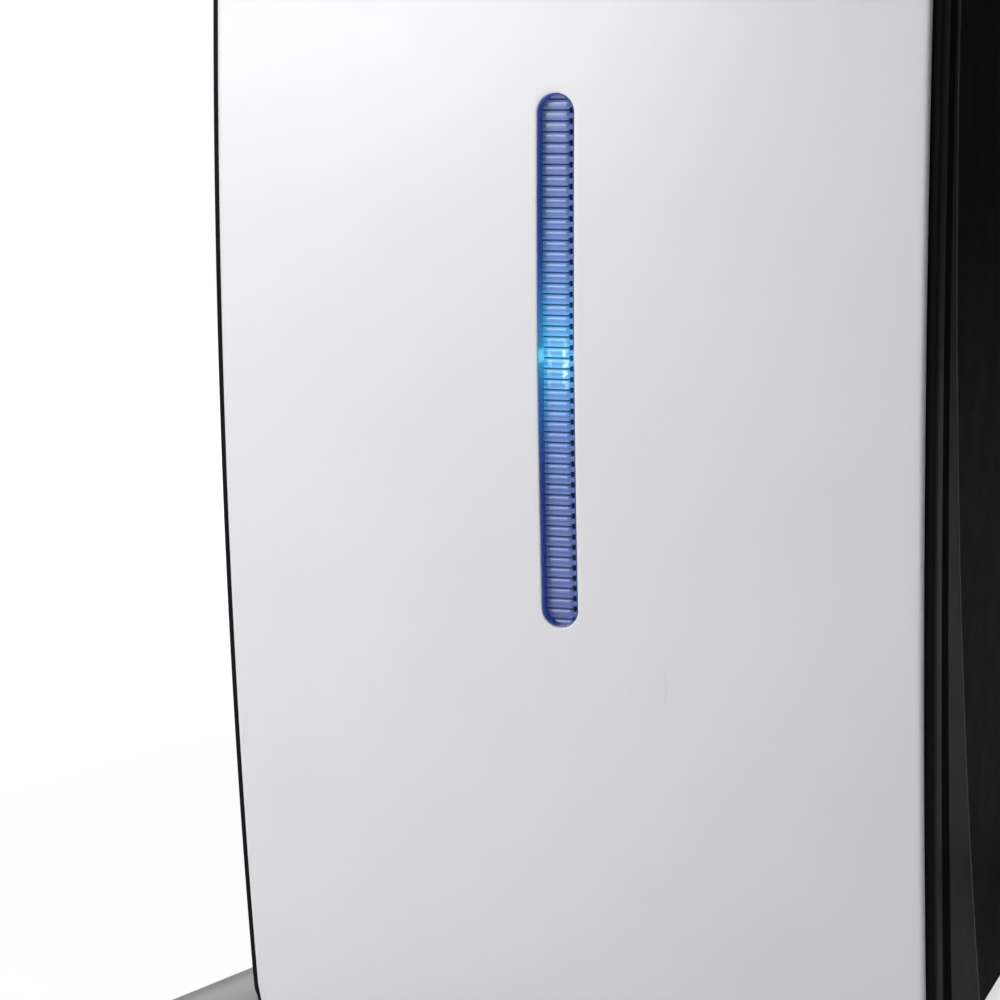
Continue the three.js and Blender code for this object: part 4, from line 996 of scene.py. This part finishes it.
def pad_surface(across, along, inset, top):
    """A point of the controller's outside, or of its hollow when inset, from -1..1 both ways."""
    u = math.sin(across * math.pi / 2)
    v = math.sin(along * math.pi / 2)
    x = (PAD_HALF_W - inset) * u
    a = abs(x) / PAD_HALF_W
    end = math.sqrt(1 - 0.97 * a ** 6)
    grip = math.exp(-(((a - 0.7) / 0.2) ** 2))
    shoulder = math.exp(-(((a - 0.55) / 0.3) ** 2))
    near_y = (34 + 31 * grip) * end - inset
    far_y = (31 + 5 * shoulder) * end - inset
    y = 4 + v * (near_y if v < 0 else far_y)
    full = max(0, 1 - abs(u) ** 5) ** 0.4 * max(0, 1 - abs(v) ** 3.2) ** 0.4
    down = smoothstep(-y, 15, 57)
    land = 0.3 if inset > 0 else 0.6
    if top:
        return x, y, PAD_PARTING_Z + land + (19.4 - 9 * down - inset) * full
    return x, y, PAD_PARTING_Z - land - (17.4 + 18 * down - inset) * full


def pad_half(top):
    """One closed half of the controller's shell, outside and hollow, up to the parting line."""
    rim_z = PAD_PARTING_Z + (0.15 if top else -0.15)
    vertices, faces = [], []
    rims = []
    for inset in (0, PAD_WALL):
        start = len(vertices)
        for row in range(PAD_ROWS + 1):
            for column in range(PAD_COLUMNS + 1):
                across, along = 2 * column / PAD_COLUMNS - 1, 2 * row / PAD_ROWS - 1
                vertices.append(pad_point(*pad_surface(across, along, inset, top)))
        faces += grid_faces(PAD_COLUMNS + 1, PAD_ROWS + 1, start)
        border = grid_border(PAD_COLUMNS + 1, PAD_ROWS + 1, start)
        lowered = []
        for i in border:
            lowered.append(len(vertices))
            vertices.append(Vector((vertices[i].x, vertices[i].y, rim_z * MM)))
        faces += band(border, lowered)
        rims.append(lowered)
    faces += band(*rims)
    return vertices, faces


def upright_rod(x, y, radius, z, sides=64):
    """A rod between two heights, over a point of the controller."""
    loops = [[pad_point(x + radius * math.cos(t), y + radius * math.sin(t), height) for t in circle(sides)]
             for height in z]
    return bridge(loops, closed_ends=True)


def plain_box(x, y, z):
    """A box between two values in mm on each of the controller's axes."""
    return slab(pad_point(x[0], y[0], z[0]), pad_point(x[1], y[1], z[1]), 0.01, 1)


def cross_outline(reach, width, tip_r, inner_r, grow=0):
    """A plus sign with rounded tips and inner corners, anticlockwise round the direction pad."""
    reach, half = reach + grow, width / 2 + grow
    quarter = arc(reach - tip_r, half - tip_r, tip_r, 0, 90, 6)
    quarter += arc(half + inner_r, half + inner_r, inner_r, 270, 180, 6)
    quarter += arc(half - tip_r, reach - tip_r, tip_r, 0, 90, 6)
    loop = []
    for turn in range(4):
        cos, sin = ((1, 0), (0, 1), (-1, 0), (0, -1))[turn]
        loop += [(x * cos - y * sin, x * sin + y * cos) for x, y in quarter]
    return loop


def dpad_loop(loop, shrink, z):
    """An outline about the direction pad's centre, at a height."""
    return [pad_point(DPAD_AT[0] + x * shrink, DPAD_AT[1] + y * shrink, z) for x, y in loop]


def face_centre(name):
    dx, dy = FACE_BUTTONS[name]
    return FACE_AT[0] + dx * FACE_SPREAD, FACE_AT[1] + dy * FACE_SPREAD


def mirrored(span, side):
    """A span of x on the right, or its mirror image on the left."""
    return span if side > 0 else (-span[1], -span[0])


def pad_shell(name, top, finish, body, slot, materials):
    return add_piece(name, *pad_half(top), materials[finish], body, slot, sharp_deg=50)


def build_pad_shells(materials):
    """The two shells with their openings, and the bumpers as cut from the upper one."""
    upper = pad_shell("pad_upper_shell", True, "shell", "controller", "controller_shell", materials)
    dpad_well = cross_outline(12.6, 10, 1.2, 0.8)
    cuts = [upright_rod(*at, 10.8, THROUGH_TOP) for at in (LEFT_STICK, RIGHT_STICK)]
    cuts.append(bridge([dpad_loop(dpad_well, 1, z) for z in THROUGH_TOP], closed_ends=True))
    cuts += [upright_rod(*face_centre(name), 5.6, THROUGH_TOP, 48) for name in FACE_BUTTONS]
    cuts += [upright_rod(x, y, radius + 0.4, THROUGH_TOP, 48) for x, y, radius, _ in SMALL_BUTTONS.values()]
    boolean(upper, cuts)
    boolean(upper, [plain_box(mirrored(BUMPER_X, side), (BUMPER_Y, BEYOND_Y), (30, 50)) for side in (-1, 1)])
    gap_x = (TRIGGER_X[0] - TRIGGER_GAP, TRIGGER_X[1] + TRIGGER_GAP)
    trigger_gaps = [plain_box(mirrored(gap_x, side), (22, BEYOND_Y), (2.9, 26.5)) for side in (-1, 1)]
    boolean(upper, trigger_gaps)
    lower = pad_shell("pad_lower_shell", False, "shell", "controller", "controller_shell", materials)
    boolean(lower, trigger_gaps + [plain_box((-27, 27), (-15, 19), (-5, 12))])
    for piece, node in ((upper, "upper_shell"), (lower, "lower_shell")):
        shade(piece.data, 42)
        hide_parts(node)
    for hand, side in (("left", -1), ("right", 1)):
        node = f"{hand}_bumper"
        bumper = pad_shell(f"{node}_cap", True, "keys", node, "controller_keys", materials)
        zone_x = mirrored((BUMPER_X[0] + 0.3, BUMPER_X[1] - 0.6), side)
        boolean(bumper, [plain_box(zone_x, (BUMPER_Y + 1.6, BEYOND_Y), (30.3, 50))], "INTERSECT")
        shade(bumper.data, 42)
        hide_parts(node)


def pad_top(x, y):
    """Height of the controller's top surface over a point, found by halving."""
    low, high = -1.0, 1.0
    across = 2 / math.pi * math.asin(max(-1, min(1, x / PAD_HALF_W)))
    for _ in range(40):
        middle_way = (low + high) / 2
        if pad_surface(across, middle_way, 0, True)[1] < y:
            low = middle_way
        else:
            high = middle_way
    return pad_surface(across, low, 0, True)[2]


def dome_point(radius, degrees):
    angle = math.radians(degrees)
    return radius * math.sin(angle), radius * math.cos(angle)


# Profiles as (radius, height) in mm, with a knurl's depth where there is one
STICK = [(0.05, -5), (2.2, -5), *(dome_point(11.4, d) for d in (12, 20, 28, 36, 44, 50, 55)),
         dome_point(12.0, 57), *(dome_point(12.6, d) for d in (56, 48, 40, 32, 24, 18)),
         (3.5, 13.5), (3.05, 16), (3.0, 20.5), (3.4, 21.8), (5.5, 22.3), (8.2, 22.7), (9.0, 23.2),
         (9.4, 23.9, 0.1), (9.4, 26.3, 0.1), (9.1, 27.2, 0.06), (8.5, 27.85), (7.9, 28), (7.3, 27.8),
         (6.9, 27.2), (5.2, 26.8), (3.0, 26.62), (0.05, 26.6)]
AXLE = [(0.05, 0), (1, 0), (1, 15.2), (0.05, 15.2)]
WELL_RING = [(10.85, -1.6), (10.85, 0.1), (11.1, 0.42), (11.9, 0.5), (12.5, 0.3), (12.7, -0.2),
             (12.7, -1.6)]
SLOPE_SPAN = 8  # mm either side of a stick over which the shell's slope is taken
FACE_CAP = [(0.05, 0), (1.6, -0.02), (2.5, -0.12), (2.6, -0.32), (2.95, -0.34), (3.05, -0.2), (3.9, -0.5),
            (4.7, -1.0), (5.1, -1.6), (5.2, -2.2), (5.2, -9.8), (6.3, -9.8), (6.3, -12.2), (0.05, -12.2)]
FACE_TOP_Z = 47.2
# How much the direction pad's outline shrinks at each height, up its sides and in over its dip
DPAD_LEVELS = ((1, 34.2), (1, 44.9), (0.985, 45.5), (0.95, 45.85), (0.9, 46), (0.7, 45.9), (0.45, 45.4),
               (0.22, 45.0), (0.01, 44.9))
DPAD_STEM = [(0.05, -1.3), (2.6, -1.3), (2.6, 3), (0.05, 3)]
TRIGGER_SIDE = ((0, 0.9), (0.25, 0.95), (0.8, 0.985), (1.8, 1))  # distance in from a side, and size there


def add_well_ring(node, x, y, material):
    """A moulded ring that lies on the sloping shell round a stick."""
    high = pad_top(x, y)
    slope_x = (pad_top(x + SLOPE_SPAN, y) - pad_top(x - SLOPE_SPAN, y)) / (2 * SLOPE_SPAN)
    slope_y = (pad_top(x, y + SLOPE_SPAN) - pad_top(x, y - SLOPE_SPAN)) / (2 * SLOPE_SPAN)
    tilt = Vector((-slope_x, -slope_y, 1)).normalized()
    loops = []
    for radius, height in WELL_RING + WELL_RING[:1]:
        loop = []
        for turn in circle(72):
            px, py = x + radius * math.cos(turn), y + radius * math.sin(turn)
            on_shell = high + slope_x * (px - x) + slope_y * (py - y)
            loop.append(pad_point(px, py, on_shell + height * tilt.z))
        loops.append(loop)
    add_piece(f"{node}_well_ring", *bridge(loops), material, "controller", "controller_keys")


def add_sticks(materials):
    """Domed bases, slim stems and dished caps with a knurled rim."""
    for node, (x, y) in (("left_stick", LEFT_STICK), ("right_stick", RIGHT_STICK)):
        shape = lathe(STICK, pad_point(x, y, STICK_PIVOT_Z), UP, 144, 48)
        stick = add_piece(f"{node}_moulded", *shape, materials["rubber"], node, "rubber", sharp_deg=60)
        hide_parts(node)
        axle = lathe(AXLE, pad_point(x, y - AXLE[-1][1] / 2, STICK_PIVOT_Z), BACKWARD, 20)
        pin = add_piece(f"{node}_axle", *axle, materials["steel"], node, "steel")
        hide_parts(node)
        add_well_ring(node, x, y, materials["keys"])


def add_dpad(materials):
    """A cross with rounded arms that dips in the middle."""
    outline = cross_outline(11.4, 7.6, 1.4, 0.7)
    shape = bridge([dpad_loop(outline, shrink, z) for shrink, z in DPAD_LEVELS], closed_ends=True)
    stem = lathe(DPAD_STEM, pad_point(*DPAD_AT, 31.9), UP, 24)
    cross = add_piece("dpad_cross", *shape, materials["keys"], "dpad", "controller_keys", sharp_deg=45)
    post = add_piece("dpad_stem", *stem, materials["keys"], "dpad", "controller_keys")
    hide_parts("dpad")
    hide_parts("dpad")


def add_pad_buttons(materials):
    """Domed face buttons, each with a sunk ring, and small round keys."""
    for name in FACE_BUTTONS:
        node = f"face_button_{name}"
        shape = lathe(FACE_CAP, pad_point(*face_centre(name), FACE_TOP_Z), UP, 64)
        cap = add_piece(f"{node}_cap", *shape, materials["keys"], node, "controller_keys", sharp_deg=50)
        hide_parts(node)
    for node, (x, y, r, top) in SMALL_BUTTONS.items():
        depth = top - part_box(node)[0].z / MM
        profile = [(0.05, 0.0), (r * 0.5, -0.03), (r * 0.8, -0.16), (r * 0.94, -0.36), (r, -0.8),
                   (r, 1 - depth), (r + 0.9, 1 - depth), (r + 0.9, -depth), (0.05, -depth)]
        finish, slot = ("home", "home_key") if node == "home_button" else ("keys", "controller_keys")
        shape = lathe(profile, pad_point(x, y, top), UP, 56)
        cap = add_piece(f"{node}_cap", *shape, materials[finish], node, slot, sharp_deg=50)
        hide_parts(node)


def trigger_outline():
    """A trigger from the side, as (y, z): over its top, round its tip and back along its inside."""
    top, tip, under, root = (31, 26), (48.5, 9), (45.6, 7), (24, 20)
    outline = [(24, 25), top]
    outline += bend(top, (47, 25.5), tip, 14)
    outline += bend(tip, (48.4, 6.6), under, 6)
    return outline + bend(under, (42, 19), root, 14)


def add_triggers(materials):
    """Smooth curved triggers with rounded sides."""
    outline = trigger_outline()
    middle_y, middle_z = (sum(values) / len(outline) for values in zip(*outline))
    for hand, side in (("left", -1), ("right", 1)):
        low, high = mirrored(TRIGGER_X, side)
        sections = [(low + inset, size) for inset, size in TRIGGER_SIDE]
        sections += [(high - inset, size) for inset, size in reversed(TRIGGER_SIDE)]
        loops = [[pad_point(x, middle_y + (y - middle_y) * size, middle_z + (z - middle_z) * size)
                  for y, z in outline] for x, size in sections]
        node = f"{hand}_trigger"
        shape = bridge(loops, closed_ends=True)
        trigger = add_piece(f"{node}_blade", *shape, materials["keys"], node, "controller_keys", sharp_deg=40)
        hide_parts(node)


def build_controller(materials):
    build_pad_shells(materials)
    add_sticks(materials)
    add_dpad(materials)
    add_pad_buttons(materials)
    add_triggers(materials)


# ------------------------------------------------------------------ finishes of the CAD nodes
NODE_FINISH = {
    "black": ["front_bezel", "door_liner", "fan_frame", "fan_rotor", "front_usb_block", "disc_slot_trim",
              "rear_port_block", "power_inlet", "disc_spindle", "laser_sled", "dpad_pivot"],
    "charcoal": ["side_cover_left", "side_cover_right"],
    "lid": ["top_cover"],
    "panel": ["rear_panel", "base_tray"],
    "board": ["mainboard", "led_board", "controller_board"],
    "steel": ["power_supply", "disc_drive_case", "hard_drive", "door_magnet", "left_stick_gimbal",
              "right_stick_gimbal", "rumble_motor_left", "rumble_motor_right",
              "rumble_weight_left", "rumble_weight_right"],
    "fins": ["heatsink"],
    "rubber": ["load_roller_left", "load_roller_right"],
    "shell": ["battery_cover"],
    "battery": ["battery_pack"],
}
PLAIN_EDGE_MM = 0.3
EDGE_MM = {"front_bezel": 0.5, "side_cover_left": 0.6, "side_cover_right": 0.6, "top_cover": 0.5}


def finish_nodes(materials):
    """Gives each CAD node that stays in sight its material, and rounds its edges a little."""
    for finish, nodes in NODE_FINISH.items():
        for name in nodes:
            node = NODES[name]
            node.data.materials.clear()
            node.data.materials.append(materials[finish])
            bevel = node.modifiers.new("edges", "BEVEL")
            bevel.width = EDGE_MM.get(name, PLAIN_EDGE_MM) * MM
            bevel.segments = 2
            bevel.limit_method = "ANGLE"
            bevel.angle_limit = math.radians(40)
            bevel.harden_normals = False
            shade(node.data, 32)


# ------------------------------------------------------------------ studio
ROOM_LIGHT = 0.09
FLOOR_HALF = 30  # metres


def place_light(name, target, azimuth, elevation, distance, size, power, spread=180):
    """A square soft light, placed by the direction it shines from: azimuth 0 is the front."""
    turn, tilt = math.radians(azimuth), math.radians(elevation)
    toward = Vector((math.sin(turn) * math.cos(tilt), -math.cos(turn) * math.cos(tilt), math.sin(tilt)))
    place = target + toward * distance
    data = bpy.data.lights.new(name, "AREA")
    data.shape = "SQUARE"
    data.size = size
    data.energy = power
    data.spread = math.radians(spread)
    light = bpy.data.objects.new(name, data)
    light.location = place
    light.rotation_euler = (target - place).to_track_quat("-Z", "Y").to_euler()
    light.visible_camera = False
    bpy.context.scene.collection.objects.link(light)


def make_world():
    """Bright and plain where the camera sees it, dim as a source of light."""
    world = bpy.data.worlds.new("studio")
    bpy.context.scene.world = world
    world.use_nodes = True
    tree = world.node_tree
    dim = next(n for n in tree.nodes if n.type == "BACKGROUND")
    dim.inputs["Color"].default_value = (0.96, 0.97, 1, 1)
    dim.inputs["Strength"].default_value = ROOM_LIGHT
    bright = tree.nodes.new("ShaderNodeBackground")
    bright.inputs["Color"].default_value = (1, 1, 1, 1)
    bright.inputs["Strength"].default_value = 1.05
    seen = tree.nodes.new("ShaderNodeLightPath")
    mix = tree.nodes.new("ShaderNodeMixShader")
    output = next(n for n in tree.nodes if n.type == "OUTPUT_WORLD")
    tree.links.new(seen.outputs["Is Camera Ray"], mix.inputs[0])
    tree.links.new(dim.outputs[0], mix.inputs[1])
    tree.links.new(bright.outputs[0], mix.inputs[2])
    tree.links.new(mix.outputs[0], output.inputs["Surface"])


def make_floor():
    """A pale floor, lit from below like a light table, more so away from the object."""
    mesh = bpy.data.meshes.new("floor")
    half = FLOOR_HALF
    corners = [(-half, -half, 0), (half, -half, 0), (half, half, 0), (-half, half, 0)]
    mesh.from_pydata(corners, [], [(0, 1, 2, 3)])
    floor = bpy.data.objects.new("floor", mesh)
    bpy.context.scene.collection.objects.link(floor)
    paint = Paint("floor_pale", (0.86, 0.86, 0.86), 0.8, Specular_IOR_Level=0.1)
    mesh.materials.append(paint.material)
    away = paint.add("ShaderNodeVectorMath", operation="LENGTH")
    paint.link(paint.place(), away.inputs[0])
    glow = paint.ramp(away.outputs["Value"], [(0.3, 1.35), (0.9, 1.95)])
    table = paint.add("ShaderNodeEmission")
    paint.link(glow, table.inputs["Color"])
    seen = paint.add("ShaderNodeLightPath")
    mix = paint.add("ShaderNodeMixShader")
    paint.link(paint.calc("MULTIPLY", seen.outputs["Is Camera Ray"], 0.5), mix.inputs[0])
    paint.link(paint.shader.outputs[0], mix.inputs[1])
    paint.link(table.outputs[0], mix.inputs[2])
    output = next(n for n in paint.tree.nodes if n.type == "OUTPUT_MATERIAL")
    paint.link(mix.outputs[0], output.inputs["Surface"])


def make_studio():
    make_world()
    make_floor()
    # Azimuth, elevation, distance and size in metres, and power in watts
    place_light("key", console_point(-50, -118, 230), -25, 15, distance=0.45, size=0.3, power=1.58)
    place_light("front", console_point(0, -118, 170), -30, 0, distance=0.7, size=0.5, power=1.08)
    place_light("rear", console_point(0, 100, 160), 215, 35, distance=1.1, size=0.8, power=6)
    place_light("overhead", console_point(0, 0, 200), -100, 65, distance=1.2, size=0.9, power=4)
    place_light("controller_top", pad_point(0, 0, 30), 95, 76, distance=0.5, size=0.2, power=0.12, spread=32)
    bpy.context.scene.view_settings.view_transform = "Standard"


make_camera()
MATERIALS = make_materials()
finish_nodes(MATERIALS)
build_door_skin(MATERIALS["silver"])
build_lens(MATERIALS["lens"])
build_lens_wall(MATERIALS["wall"])
build_liner_edge(MATERIALS["black"])
add_console_buttons(MATERIALS)
add_front_sockets(MATERIALS)
add_rear_sockets(MATERIALS)
add_screws(MATERIALS)
build_feet(MATERIALS["foot"])
build_controller(MATERIALS)
make_studio()
